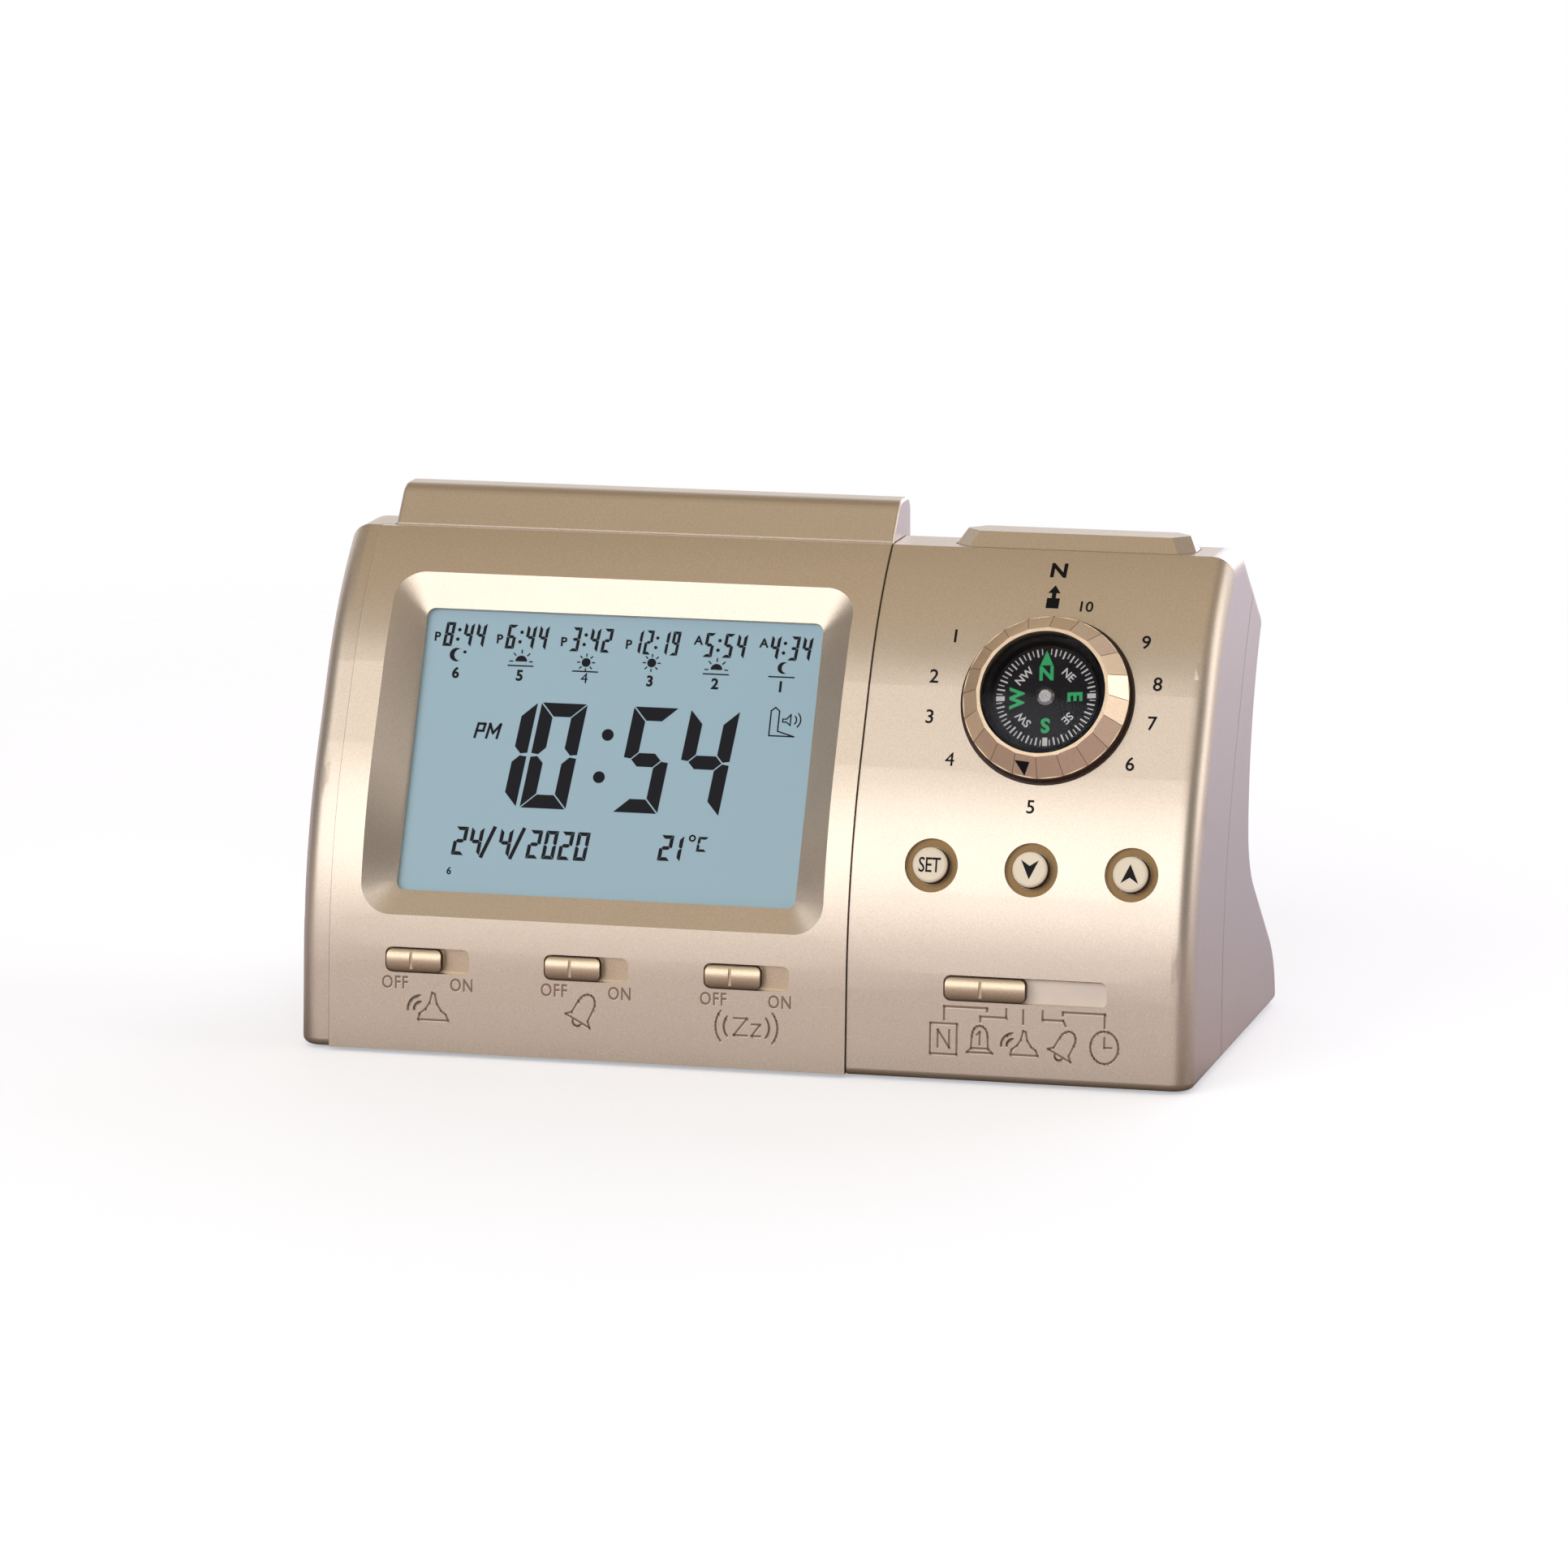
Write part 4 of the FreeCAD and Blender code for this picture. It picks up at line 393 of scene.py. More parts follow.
def arc(x, y, radius, start, end, steps=10, squash=1.0):
    """Points of an arc, angles in degrees from +X."""
    angles = [DEG(start + (end - start) * k / steps) for k in range(steps + 1)]
    return [(x + radius * math.cos(a), y + radius * squash * math.sin(a)) for a in angles]


def turned(points, degrees, size=1.0):
    """Points turned and scaled about the origin."""
    c, n = math.cos(DEG(degrees)) * size, math.sin(DEG(degrees)) * size
    return [(x * c - y * n, x * n + y * c) for x, y in points]


def lettering(words, height, spread=1.0, thick=PRINT, weight=0.0):
    """Words as a thin mesh centred on the origin, capitals that many millimetres high."""
    curve = bpy.data.curves.new("words", "FONT")
    curve.body = words
    curve.size = height * MM / CAPITAL
    curve.align_x = "CENTER"
    curve.space_character = spread
    curve.extrude = thick / 2
    curve.offset = weight * MM
    curve.resolution_u = 3
    holder = linked("words", curve)
    bpy.context.view_layer.update()
    mesh = bpy.data.meshes.new_from_object(holder.evaluated_get(bpy.context.evaluated_depsgraph_get()))
    bpy.data.objects.remove(holder)
    mesh.transform(Matrix.Translation((0, -height * MM / 2, thick / 2)))
    return mesh


# ---------------------------------------------------------------- compass and ring

# The dial is printed: a scale of ticks with thick bars at three quarters and an arrowhead at the
# fourth, and letters that stand with their tops outward.
CARD_TOP = RING @ Matrix.Translation((0, 0, 1.5 * MM)) @ Matrix.Rotation(DEG(4.4), 4, "Z")
TICKS, QUARTER, TICK_END = 64, 16, 8.2
ticks = bmesh.new()
for k in range(TICKS):
    if k == QUARTER:
        continue
    inner, wide = (6.9, 0.26) if k % 2 == 0 else (7.2, 0.16)
    if k % QUARTER == 0:
        inner, wide = 6.8, 0.8
    bar = [(inner, wide / 2), (inner, -wide / 2), (TICK_END, -wide / 2), (TICK_END, wide / 2)]
    slab(ticks, turned(bar, 360 * k / TICKS), DIAL)
piece_from("dial_ticks", ticks, WHITE_INK, "compass_card", CARD_TOP)


def dial_letter(words, angle, reach, height, weight, finish):
    mesh = lettering(words, height, thick=DIAL, weight=weight)
    spot = Matrix.Rotation(DEG(angle - 90), 4, "Z") @ Matrix.Translation((0, reach * MM, 0))
    piece_from(f"dial_{words}", mesh, finish, "compass_card", CARD_TOP @ spot)


for letter, angle, reach in (("E", 0, 4.8), ("S", 270, 4.8), ("W", 180, 4.8), ("N", 90, 4.1)):
    dial_letter(letter, angle, reach, 2.3, 0.12, GREEN_INK)
north = bmesh.new()
slab(north, [(-1.05, 5.4), (1.05, 5.4), (0, 7.9)], FILM)
piece_from("dial_north", north, GREEN_INK, "compass_card", CARD_TOP)
for words, angle in (("NE", 45), ("SE", 315), ("SW", 225), ("NW", 135)):
    dial_letter(words, angle, 5.2, 1.3, 0.03, WHITE_INK)

# The ring's pointer lies on the facet that faces the foot of the clock.
FACET, LOW_REACH, SLOPE_RISE = DEG(261), 13.531, 3 / 2.716
spots = []
for x, y in [(-3.6, -11.35), (-2.15, -13.35), (-1.1, -11.6)]:
    reach = x * math.cos(FACET) + y * math.sin(FACET)
    spots.append((x, y, 1.6 + (LOW_REACH - reach) * SLOPE_RISE))
pointer = bmesh.new()
verts = [pointer.verts.new([c * MM for c in (x, y, z + lift)])
         for lift in (-0.02, 0.04) for x, y, z in spots]
pointer.faces.new(verts[3:])
pointer.faces.new(verts[2::-1])
for i in range(3):
    pointer.faces.new((verts[i], verts[(i + 1) % 3], verts[(i + 1) % 3 + 3], verts[i + 3]))
piece_from("ring_pointer", pointer, INK, "city_ring", RING)

# A thin dark ring painted on the casing round the ring stands for the shadow in the gap about it,
# and a dark band painted on the ring's skirt stands for the skirt's shade.
gap_shadow = bmesh.new()
hoop(gap_shadow, 13.85, 14.35, -0.3, -0.25)
wrap(piece_from("ring_gap_shadow", gap_shadow, SHADE), RING_X, RING_RISE, LET_IN)
skirt = bmesh.new()
hoop(skirt, 13.71, 13.77, 0.1, 1.5)
piece_from("ring_skirt", skirt, SHADE, "city_ring", RING)

# Fine dark lines painted between the twenty facets of the ring stand for the shade where they meet.
FACETS = 20
facet_shade = bmesh.new()
for k in range(FACETS):
    angle = DEG(360 / FACETS * k)
    along = Vector((math.cos(angle), math.sin(angle), 0))
    side = Vector((-along.y, along.x, 0)) * 0.05
    ends = [along * reach + Vector((0, 0, rise)) for reach, rise in ((13.66, 1.64), (11.0, 4.55))]
    lift = (along * 3 + Vector((0, 0, 2.75))).normalized() * 0.02
    low, high = [[facet_shade.verts.new((end + side * way + lift * out) * MM) for end in ends for way in (-1, 1)]
                 for out in (-1, 1)]
    facet_shade.faces.new((high[0], high[2], high[3], high[1]))
    facet_shade.faces.new((low[0], low[1], low[3], low[2]))
    for i, j in ((0, 1), (1, 3), (3, 2), (2, 0)):
        facet_shade.faces.new((low[j], low[i], high[i], high[j]))
piece_from("ring_facet_shade", facet_shade, SUNK_SHADE, "city_ring", RING)

# ---------------------------------------------------------------- keys and slides

# Each key sits in a dark ring painted on its well's floor for the well's shade, has a dark hoop
# painted round its flank for the flank's shade, and carries its word or arrowhead.
KEY_RISE, KEY_TOP = 34.5, 1.29
for key, x in (("set_button", 31.2), ("down_button", 47.7), ("up_button", 64.2)):
    seat = frame_on_face(x, KEY_RISE)
    well, flank = bmesh.new(), bmesh.new()
    hoop(well, 3.08, 4.37, -0.89, -0.85, 64)
    piece_from(f"{key}_well", well, WELL_SHADE, place=seat)
    hoop(flank, 2.905, 2.955, -0.6, 0.85)
    piece_from(f"{key}_shade", flank, SHADE, key, seat)
    if key == "set_button":
        legend = lettering("SET", 2.4, spread=0.95, weight=0.02)
        legend.transform(Matrix.Diagonal((0.72, 1, 1, 1)))
    else:
        legend = bmesh.new()
        way = 1 if key == "up_button" else -1
        for corner in (-1.45, 1.45):
            slab(legend, [(corner, -1.5 * way), (0, 1.6 * way), (0, -0.55 * way)], PRINT)
    piece_from(f"{key}_legend", legend, INK, key, seat @ Matrix.Translation((0, 0, KEY_TOP * MM)))


KNOB_HALF, KNOB_CORNER = 1.9, 1.05


def collar(bm, left, right, low, high):
    """Adds a thin band (millimetres) round a knob, an oblong with rounded corners."""
    half, corner = KNOB_HALF, KNOB_CORNER
    rims = []
    for out, z in ((0.01, low), (0.08, low), (0.08, high), (0.01, high)):
        outline = []
        for x, y, start in ((right - corner, half - corner, 0), (left + corner, half - corner, 90),
                            (left + corner, corner - half, 180), (right - corner, corner - half, 270)):
            outline += arc(x, y, corner + out, start, start + 90, 6)
        rims.append([(x, y, z) for x, y in outline])
    band(bm, rims)


# A dark band painted round each slide's flanks stands for the shade of its slot, and soft lips
# close the slit of the widest. A dark strip painted under the widest slot's upper edge is its shadow.
for name, left, right, low, high in (("azan_knob", -59.45, -50.25, -0.1, 0.8),
                                     ("alarm_knob", -32.45, -23.25, -0.1, 0.8),
                                     ("snooze_knob", -5.45, 3.75, -0.1, 0.8),
                                     ("mode_knob", 34.45, 47.65, -0.8, 0.3)):
    flank = bmesh.new()
    collar(flank, left, right, low, high)
    piece_from(f"{name}_shade", flank, SHADE, name, SLIDES)
lips, edge_shadow = bmesh.new(), bmesh.new()
slab(lips, [(40.3, -0.42), (54.6, -0.42), (54.6, 0.42), (40.3, 0.42)], 0.00012, -0.00134)
piece_from("slot_lips", lips, LINER, place=SLIDES)
slab(edge_shadow, [(34.9, 1.86), (60.2, 1.86), (60.7, 1.7), (60.9, 1.9), (60.3, 2.09), (34.9, 2.09)],
     DIAL, -0.00119)
piece_from("slot_edge_shadow", edge_shadow, SHADE, place=SLIDES)

# ---------------------------------------------------------------- printed words and signs

# Place numbers stand round the ring; the arrow at the top shows where north is set.
PLACES = [("1", 31.3, 69.3, 2.3), ("2", 28.6, 63.2, 2.3), ("3", 28.6, 57.1, 2.3), ("4", 32.7, 50.8, 2.3),
          ("6", 62.4, 51.3, 2.3), ("7", 65.3, 57.5, 2.3), ("8", 65.6, 63.4, 2.3), ("9", 62.9, 69.5, 2.3),
          ("5", 46.8, 44.2, 2.2), ("10", 52.0, 74.3, 1.9)]
for words, x, rise, height in PLACES:
    mesh = lettering(words, height, weight=0.0 if words == "4" else 0.03)
    wrap(piece_from(f"place_{words}", mesh, INK), x, rise, LET_IN)
wrap(piece_from("north_word", lettering("N", 2.7, weight=0.12), INK), 46.6, 79.3, LET_IN)
arrow = bmesh.new()
slab(arrow, [(-1.05, -1.9), (1.05, -1.9), (1.05, 0.0), (-1.05, 0.0)], PRINT)
slab(arrow, [(-0.35, 0.0), (0.35, 0.0), (0.35, 1.2), (-0.35, 1.2)], PRINT)
slab(arrow, [(-1.0, 1.0), (1.0, 1.0), (0, 2.5)], PRINT)
wrap(piece_from("north_arrow", arrow, INK), 46.5, 75.3, LET_IN)

# Signs sunk in the casing are thin ribbons, each a list of points and whether it closes. They are
# painted dark for the shade in the sunk lines.
DOME = [([(-1.5, -2.2), (-1.3, -1.3), (-0.3, -0.5), (0.35, 0.5), (0.75, 2.1), (1.2, 1.9), (1.5, 0.4),
          (2.2, -0.7), (3.0, -1.3), (3.4, -2.2)], True),
        (arc(-1.0, -0.6, 1.2, 95, 185), False),
        (arc(-1.0, -0.6, 2.2, 95, 185), False)]
BELL_SIDE = [(-2.1, -2.0), (-1.4, -1.3), (-1.3, 0.7), *arc(0, 0.7, 1.3, 180, 0, 8, 1.3), (1.4, -1.3),
             (2.1, -2.0)]
BELL = [(BELL_SIDE, True), (arc(0, -2.1, 0.7, 190, 350, 6), False)]
PLAIN_BELL = [(BELL_SIDE, True), ([(-1.4, -1.3), (1.4, -1.3)], False),
              ([(-0.5, 0.9), (0, 1.4), (0, -0.7)], False)]
LETTER_N = [([(-2.2, -2.5), (2.2, -2.5), (2.2, 2.5), (-2.2, 2.5)], True),
            ([(-0.95, -1.4), (-0.95, 1.4), (0.95, -1.4), (0.95, 1.4)], False)]
CLOCK_FACE = [(arc(0, 0, 2.3, 0, 345, 23, 1.15), True), ([(0, 1.6), (0, 0), (1.2, 0)], False)]
SNOOZE = [([(-2.1, 1.4), (0.1, 1.4), (-2.1, -1.4), (0.1, -1.4)], False),
          ([(0.9, 0.5), (2.3, 0.5), (0.9, -1.4), (2.3, -1.4)], False)]
SNOOZE += [(arc(side * 1.2, 0, reach, 180 * (side < 0) - 38, 180 * (side < 0) + 38, 8), False)
           for side in (-1, 1) for reach in (2.6, 4.0)]
BRACKETS = [([(-13.3, -1.9), (-13.3, 0.3), (-6.2, 0.3), (-6.2, -0.2)], False),
            ([(-7.3, -1.9), (-7.3, -1.1), (-3.0, -1.1), (-3.0, 0.3)], False),
            ([(-0.2, 0.3), (-0.2, -1.9)], False),
            ([(3.0, 0.3), (3.0, -1.1), (6.4, -1.1), (6.8, -1.9)], False),
            ([(6.3, -0.2), (6.3, 0.3), (13.2, 0.3), (13.2, -1.9)], False)]
FASCIA = 0.5 * MM


def tilted(ribbons, degrees, size=1.0):
    return [(turned(points, degrees, size), shut) for points, shut in ribbons]


def sign(name, x, rise, ribbons, width=0.33, proud=0.0):
    """Lays ribbons in a painted shade on the face, over ones in a painted highlight, their lit lower edge.
    """
    for label, finish, dx, dy, thick in ((f"{name}_edge", LIT, 0.1, -0.2, DIAL),
                                         (name, SUNK_SHADE, 0, 0, SIGN)):
        lines = bmesh.new()
        for points, shut in ribbons:
            stroke(lines, [(px + dx, py + dy) for px, py in points], width, thick, shut)
        wrap(piece_from(label, lines, finish), x, rise, proud + LET_IN)


sign("azan_sign", -52.6, 7.8, tilted(DOME, 0, 1.05), proud=FASCIA)
sign("alarm_sign", -26.0, 8.6, tilted(BELL, -28, 1.1), proud=FASCIA)
sign("snooze_sign", 1.45, 7.1, SNOOZE, proud=FASCIA)
# Each word is painted in a shade colour over a copy in a painted highlight, as the signs are.
for words, x in (("OFF", -58.2), ("ON", -46.8), ("OFF", -31.1), ("ON", -19.95), ("OFF", -4.2),
                 ("ON", 7.0)):
    label = f"{words.lower()}_{round(x)}".replace("-", "m")
    for name, finish, dx, dy, thick in ((f"{label}_edge", LIT, 0.1, -0.14, DIAL),
                                        (label, SUNK_SHADE, 0, 0, SIGN)):
        mesh = lettering(words, 2.1, spread=1.1, thick=thick, weight=0.04)
        mesh.transform(Matrix.Translation((dx * MM, dy * MM, 0)) @ Matrix.Diagonal((0.82, 1, 1, 1)))
        wrap(piece_from(name, mesh, finish), x, 11.5, FASCIA + LET_IN)
sign("mode_normal", 34.2, 6.9, LETTER_N)
sign("mode_plain_alarm", 40.2, 6.9, PLAIN_BELL)
sign("mode_azan", 46.7, 6.9, tilted(DOME, 0, 0.92))
sign("mode_alarm", 54.3, 6.9, tilted(BELL, -28))
sign("mode_clock", 60.75, 6.8, CLOCK_FACE)
sign("mode_brackets", 47.55, 11.9, BRACKETS, 0.36)

# ---------------------------------------------------------------- figures of the liquid crystal panel

SEGMENTS = {"0": "abcdef", "1": "bc", "2": "abged", "3": "abgcd", "4": "fgbc", "5": "afgcd", "6": "afgedc",
            "7": "abc", "8": "abcdefg", "9": "abcdfg", "C": "adef"}
LEAN, GAP = 0.105, 0.07
figures = bmesh.new()


def digit(letter, x, y, w, h, b):
    """A seven-segment figure from its lower left corner: width, height, and mitred bars b wide."""
    middle, g, half = h / 2, GAP * b, b / 2
    shapes = {
        "a": [(g, h), (w - g, h), (w - b - g, h - b), (b + g, h - b)],
        "b": [(w, h - g), (w, middle + g * 2), (w - half, middle + g), (w - b, middle + half + g),
              (w - b, h - b - g)],
        "c": [(w, g), (w - b, b + g), (w - b, middle - half - g), (w - half, middle - g),
              (w, middle - g * 2)],
        "d": [(g, 0), (b + g, b), (w - b - g, b), (w - g, 0)],
        "e": [(0, g), (0, middle - g * 2), (half, middle - g), (b, middle - half - g), (b, b + g)],
        "f": [(0, h - g), (b, h - b - g), (b, middle + half + g), (half, middle + g), (0, middle + g * 2)],
        "g": [(half + g, middle), (b + g, middle + half), (w - b - g, middle + half), (w - half - g, middle),
              (w - b - g, middle - half), (b + g, middle - half)]}
    for key in SEGMENTS[letter]:
        slab(figures, [(x + px + LEAN * py, y + py) for px, py in shapes[key]], FILM)


def write(text, x, y, width, height, bar, pitch=0.0):
    """Seven-segment figures from the lower left, with colons and strokes of a date."""
    for letter in text:
        if letter == ":":
            for level in (0.3, 0.7):
                slab(figures, [(px + x + LEAN * height * level, py + y + height * level)
                               for px, py in arc(bar * 0.5, 0, bar * 0.6, 0, 330, 11)], FILM)
            x += pitch - width + bar
        elif letter == "/":
            stroke(figures, [(x - width * 0.1, y), (x + width * 0.75, y + height)], bar, FILM)
            x += pitch * 0.85
        else:
            digit(letter, x, y, width, height, bar)
            x += pitch


# The time, the six times of the day, the date and the temperature.
for text, x, width in (("1", -23.1, 7.8), ("0", -14.6, 7.8), ("5", 1.2, 7.6), ("4", 10.9, 8.2)):
    write(text, x, -9.0, width, 17.9, 2.3)
for x, y in ((-0.97, 3.9), (-1.69, -3.3)):
    slab(figures, arc(x, y, 1.0, 0, 345, 23), FILM)
for text, x in (("8:44", -30.9), ("6:44", -20.2), ("3:42", -9.2), ("5:54", 13.6), ("4:34", 24.7)):
    write(text, x, 17.8, 1.55, 4.1, 0.5, 2.15)
write("12:19", 1.6, 17.8, 1.3, 4.1, 0.46, 1.8)
write("24/4/2020", -25.4, -17.5, 2.1, 4.8, 0.6, 2.7)
write("2", 9.6, -16.8, 2.1, 4.3, 0.6)
write("1", 11.3, -16.8, 2.1, 4.3, 0.6)
write("C", 16.0, -15.0, 1.7, 2.5, 0.42)
stroke(figures, arc(15.2, -12.8, 0.45, 0, 330, 11), 0.25, FILM, True)
piece_from("panel_figures", figures, SEGMENT, place=PANEL_FACE)


def panel_words(name, words, x, y, height, weight):
    mesh = lettering(words, height, thick=FILM, weight=weight)
    piece_from(name, mesh, SEGMENT, place=PANEL_FACE @ Matrix.Translation((x * MM, y * MM, 0)))


afternoon = bmesh.new()
for letter in ([(0, 0), (0, 2.3), (1.15, 2.3), (1.15, 1.1), (0, 1.1)],
               [(2, 0), (2, 2.3), (2.9, 0.8), (3.8, 2.3), (3.8, 0)]):
    stroke(afternoon, [(x - 23.6 + 0.2 * y, y + 2.55) for x, y in letter], 0.4, FILM)
piece_from("panel_pm", afternoon, SEGMENT, place=PANEL_FACE)
for k, x in enumerate((-31.9, -21.2, -10.2, 0.9, 12.7, 23.8)):
    panel_words(f"panel_half_{k}", "PPPPAA"[k], x, 19.4 if k < 4 else 20.6, 1.5, 0.05)
for k, x in enumerate((-28.1, -17.1, -6.0, 5.15, 16.2, 27.3)):
    panel_words(f"panel_number_{k}", str(6 - k), x, 13.35, 1.75, 0.0 if k == 2 else 0.08)
panel_words("panel_weekday", "6", -25.4, -20.2, 1.2, 0.03)

# Small signs of the sun and the moon stand for the six times of the day.
signs = bmesh.new()


def sun(x, y, radius, whole):
    """A sun with eight rays, or its upper half with five."""
    slab(signs, arc(x, y, radius, 0, 348 if whole else 180, 24), FILM)
    for k in range(8 if whole else 5):
        c, n = math.cos(DEG(k * 45)), math.sin(DEG(k * 45))
        stroke(signs, [(x + c * reach, y + n * reach) for reach in (radius * 1.45, radius * 1.9)], 0.2, FILM)


def moon(x, y, radius):
    """A crescent that opens to the right."""
    outer = arc(x, y, radius, 60, 300, 16)
    inner = arc(x + radius * 0.55, y, radius * 0.87, 275, 85, 16)
    for k in range(16):
        slab(signs, [outer[k], outer[k + 1], inner[15 - k], inner[16 - k]], FILM)


moon(-28.3, 16.4, 1.15)
moon(27.5, 16.5, 1.0)
slab(signs, arc(-26.9, 16.9, 0.3, 0, 300, 5), FILM)
for x, y, whole in ((-17.1, 15.7, False), (-6.0, 16.0, True), (5.15, 16.4, True), (16.2, 15.7, False)):
    sun(x, y, 0.75 if whole else 1.0, whole)
for x, y in ((-17.1, 14.95), (-6.0, 14.45), (16.2, 14.95), (27.3, 14.95)):
    stroke(signs, [(x - 2.1, y), (x + 2.1, y)], 0.22, FILM)

# A slim tower that calls, at the right of the time.
stroke(signs, [(26.2, 5.0), (26.2, 9.2), (26.9, 9.8), (27.6, 9.2), (27.6, 5.8), (30.4, 5.0)],
       0.22, FILM, True)
stroke(signs, [(28.3, 7.9), (28.9, 7.9), (29.6, 8.7), (29.6, 6.9), (28.9, 7.4), (28.3, 7.4)],
       0.2, FILM, True)
for reach in (0.9, 1.6):
    stroke(signs, arc(29.7, 7.8, reach, -45, 45, 6), 0.2, FILM)
piece_from("panel_signs", signs, SEGMENT, place=PANEL_FACE)

# ---------------------------------------------------------------- floor

# The camera sees a pale floor that fades out at a distance. Other rays see other paint, which the
# clock mirrors: a brown band just before the clock, a painted shadow that darkens the clock's lower
# edge, mauve ahead of it, bluish behind, and a glow farther off.
FADE_START, FADE_END = 0.22, 0.50
NEAR_LIFT, FAR_GLOW = 0.42, 0.26
FRONT, BEHIND = -0.10, 0.10
TONES = [(0.20, (0.58, 0.47, 0.52)), (0.28, (0.17, 0.11, 0.08)), (0.34, (0.17, 0.11, 0.08)),
         (0.46, (0.60, 0.53, 0.62)), (1.0, (0.66, 0.66, 0.90))]
floor_mesh = bpy.data.meshes.new("floor")
floor_mesh.from_pydata([(-3, -3, 0), (3, -3, 0), (3, 3, 0), (-3, 3, 0)], [], [(0, 1, 2, 3)])
floor = linked("floor", floor_mesh)
made, shader, add, link = material("pale_floor")
where = add("ShaderNodeTexCoord").outputs["Object"]
camera_ray = add("ShaderNodeLightPath").outputs["Is Camera Ray"]
tone = mixed(add, noise(add, where, 40), (0.78, 0.80, 0.83, 1), (0.80, 0.82, 0.85, 1))
place = add("ShaderNodeSeparateXYZ", in_0=where)
mirrored = ramp(add, mapped(add, place.outputs["Y"], 0.0, 1.0, FRONT, BEHIND), TONES)
link(mixed(add, camera_ray, mirrored, tone), shader.inputs["Base Color"])
shader.inputs["Emission Color"].default_value = (0.97, 0.97, 1.0, 1)
reach = add("ShaderNodeVectorMath", operation="LENGTH", in_0=where)
outside = mapped(add, reach.outputs["Value"], 0.0, 1.0, FADE_START, FADE_END)
glow = maths(add, "MULTIPLY", outside, FAR_GLOW)
lift = add("ShaderNodeMix", data_type="FLOAT", in_0=camera_ray, in_2=glow, in_3=NEAR_LIFT)
link(lift.outputs[0], shader.inputs["Emission Strength"])
# It is clear to the camera where it has faded out, and to every ray from below.
solid = maths(add, "SUBTRACT", 1.0, maths(add, "MULTIPLY", camera_ray, outside))
topside = maths(add, "SUBTRACT", 1.0, add("ShaderNodeNewGeometry").outputs["Backfacing"])
link(maths(add, "MULTIPLY", solid, topside), shader.inputs["Alpha"])
shader.inputs["Roughness"].default_value = 0.7
floor_mesh.materials.append(made)

# ---------------------------------------------------------------- light


def toward(azimuth, elevation):
    """A direction from the clock. Azimuth 0 is straight ahead of it, 90 to its right."""
    a, e = DEG(azimuth), DEG(elevation)
    return Vector((math.sin(a) * math.cos(e), -math.cos(a) * math.cos(e), math.sin(e)))


# Rectangular lights that face the clock: azimuth, elevation, distance, width, height, power, tint.
AIM = Vector((0, 0, 0.04))
for name, azimuth, elevation, distance, width, height, power, tint in (
        ("front_band", -14, 25, 1.2, 1.8, 0.64, 7.4, (0.92, 0.95, 1.0)),
        ("overhead", 0, 75, 1.2, 1.0, 0.8, 0.9, (1, 0.84, 0.6)),
        ("right_strip", 97, 24, 1.2, 0.6, 0.7, 2.0, (0.96, 0.96, 1.0)),
        ("rear_left", 150, 30, 1.4, 1.0, 0.8, 2.8, (0.70, 0.72, 1.0)),
        ("rear_right", 168, 14, 1.4, 0.9, 0.5, 2.6, (0.62, 0.70, 1.0))):
    light = bpy.data.lights.new(name, "AREA")
    light.shape = "RECTANGLE"
    light.size, light.size_y = width, height
    light.energy = power
    light.color = tint
    holder = linked(name, light)
    heading = toward(azimuth, elevation)
    holder.location = AIM + heading * distance
    holder.rotation_mode = "QUATERNION"
    holder.rotation_quaternion = heading.to_track_quat("Z", "Y")

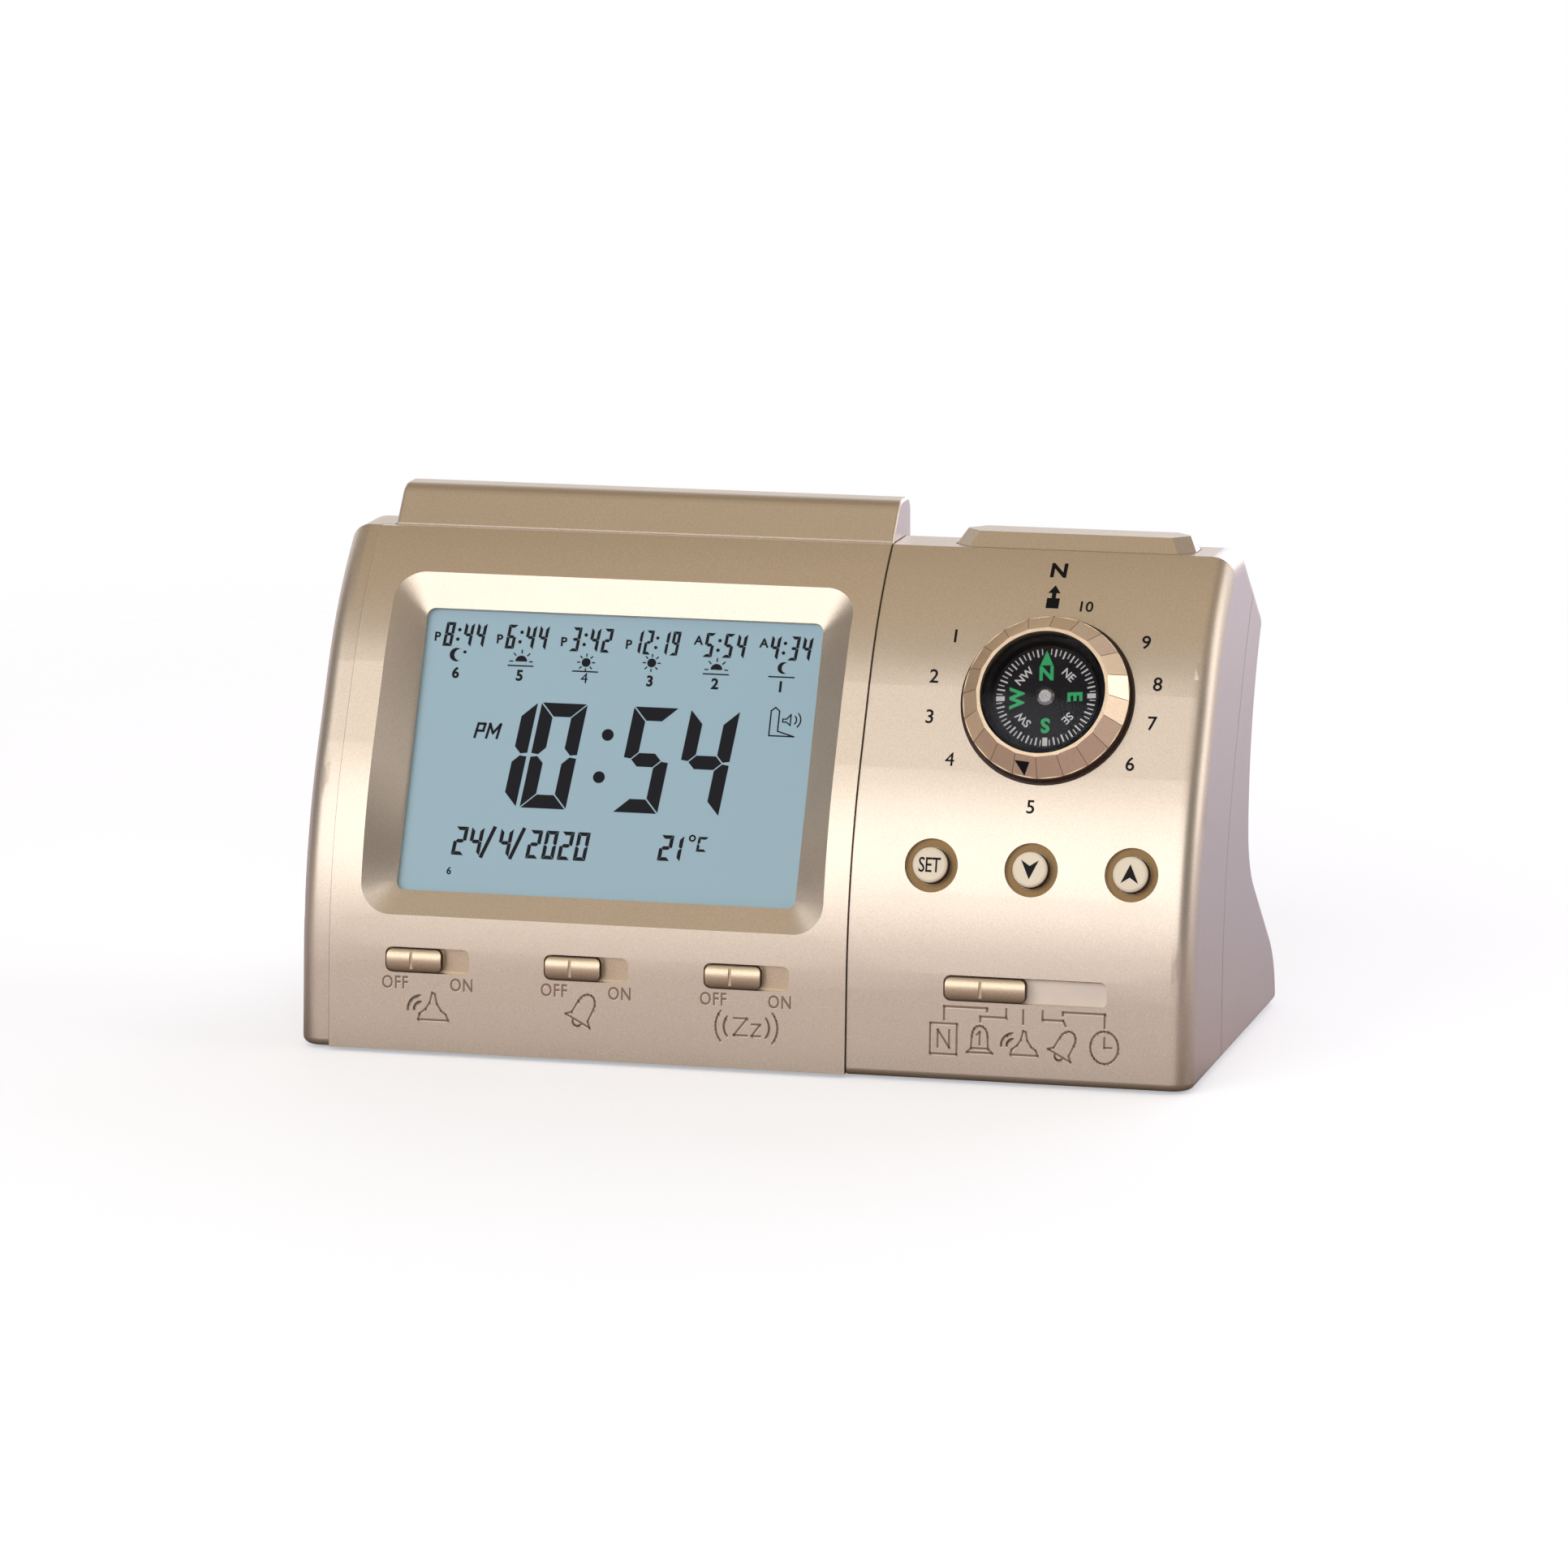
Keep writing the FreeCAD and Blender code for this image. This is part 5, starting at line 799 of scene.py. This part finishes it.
# The room is bright at the level of the clock and brown overhead, and the camera sees it white.
# One dark screen puts a brown line down the casing's right edge, and the other shades the slopes
# that face left: a heading, how nearly a ray must point to it, and what it leaves of the light.
STOPS = [(0.0, (1.08, 1.0, 1.06)), (0.18, (1.10, 1.08, 1.08)), (0.36, (1.10, 1.12, 1.18)),
         (0.58, (0.56, 0.50, 0.44)), (0.80, (0.31, 0.25, 0.17)), (1.0, (0.28, 0.22, 0.14))]
SCREENS = [((0.718, -0.646, 0.259), 0.84, 0.08), ((-0.978, -0.034, 0.208), 0.80, 0.15)]
FULL_SCREEN = 0.95
world = bpy.context.scene.world or bpy.data.worlds.new("World")
bpy.context.scene.world = world
world.use_nodes = True
world.node_tree.nodes.clear()
add = adder(world.node_tree)
around = add("ShaderNodeTexCoord").outputs["Generated"]
level = add("ShaderNodeSeparateXYZ", in_Vector=around)
dimmed = []
for heading, wide, left in SCREENS:
    nearness = add("ShaderNodeVectorMath", operation="DOT_PRODUCT", in_0=around, in_1=heading)
    dimmed.append(mapped(add, nearness.outputs["Value"], 1.0, left, wide, FULL_SCREEN))
room = add("ShaderNodeBackground", in_Color=ramp(add, level.outputs["Z"], STOPS),
           in_Strength=maths(add, "MULTIPLY", *dimmed))
white = add("ShaderNodeBackground", in_Color=(1, 1, 1, 1))
mix = add("ShaderNodeMixShader", in_Fac=add("ShaderNodeLightPath").outputs["Is Camera Ray"],
          in_1=room.outputs["Background"], in_2=white.outputs["Background"])
add("ShaderNodeOutputWorld", in_Surface=mix.outputs["Shader"])

# ---------------------------------------------------------------- camera

AZIMUTH, ELEVATION, ROLL = 14.29, 10.93, -0.10
FRAME_PX, FOCAL_PX, SENSOR = 1932, 10003.2, 36
CAMERA_DISTANCE = 1.3454
TARGET, SHIFT_RIGHT, SHIFT_UP = Vector((0, -2, 45.5)), -1.064, -4.224
back = toward(AZIMUTH, ELEVATION)
right = Vector((math.cos(DEG(AZIMUTH)), math.sin(DEG(AZIMUTH)), 0))
up = back.cross(right)
target = (TARGET + right * SHIFT_RIGHT + up * SHIFT_UP) * MM
camera = linked("camera", bpy.data.cameras.new("camera"))
camera.data.sensor_width = SENSOR
camera.data.lens = FOCAL_PX * SENSOR / FRAME_PX
camera.data.clip_start, camera.data.clip_end = 0.05, 20
turn = Matrix((right, up, back)).transposed().to_4x4() @ Matrix.Rotation(DEG(ROLL), 4, "Z")
camera.matrix_world = Matrix.Translation(target + back * CAMERA_DISTANCE) @ turn
bpy.context.scene.camera = camera
bpy.context.scene.view_settings.view_transform = "Standard"
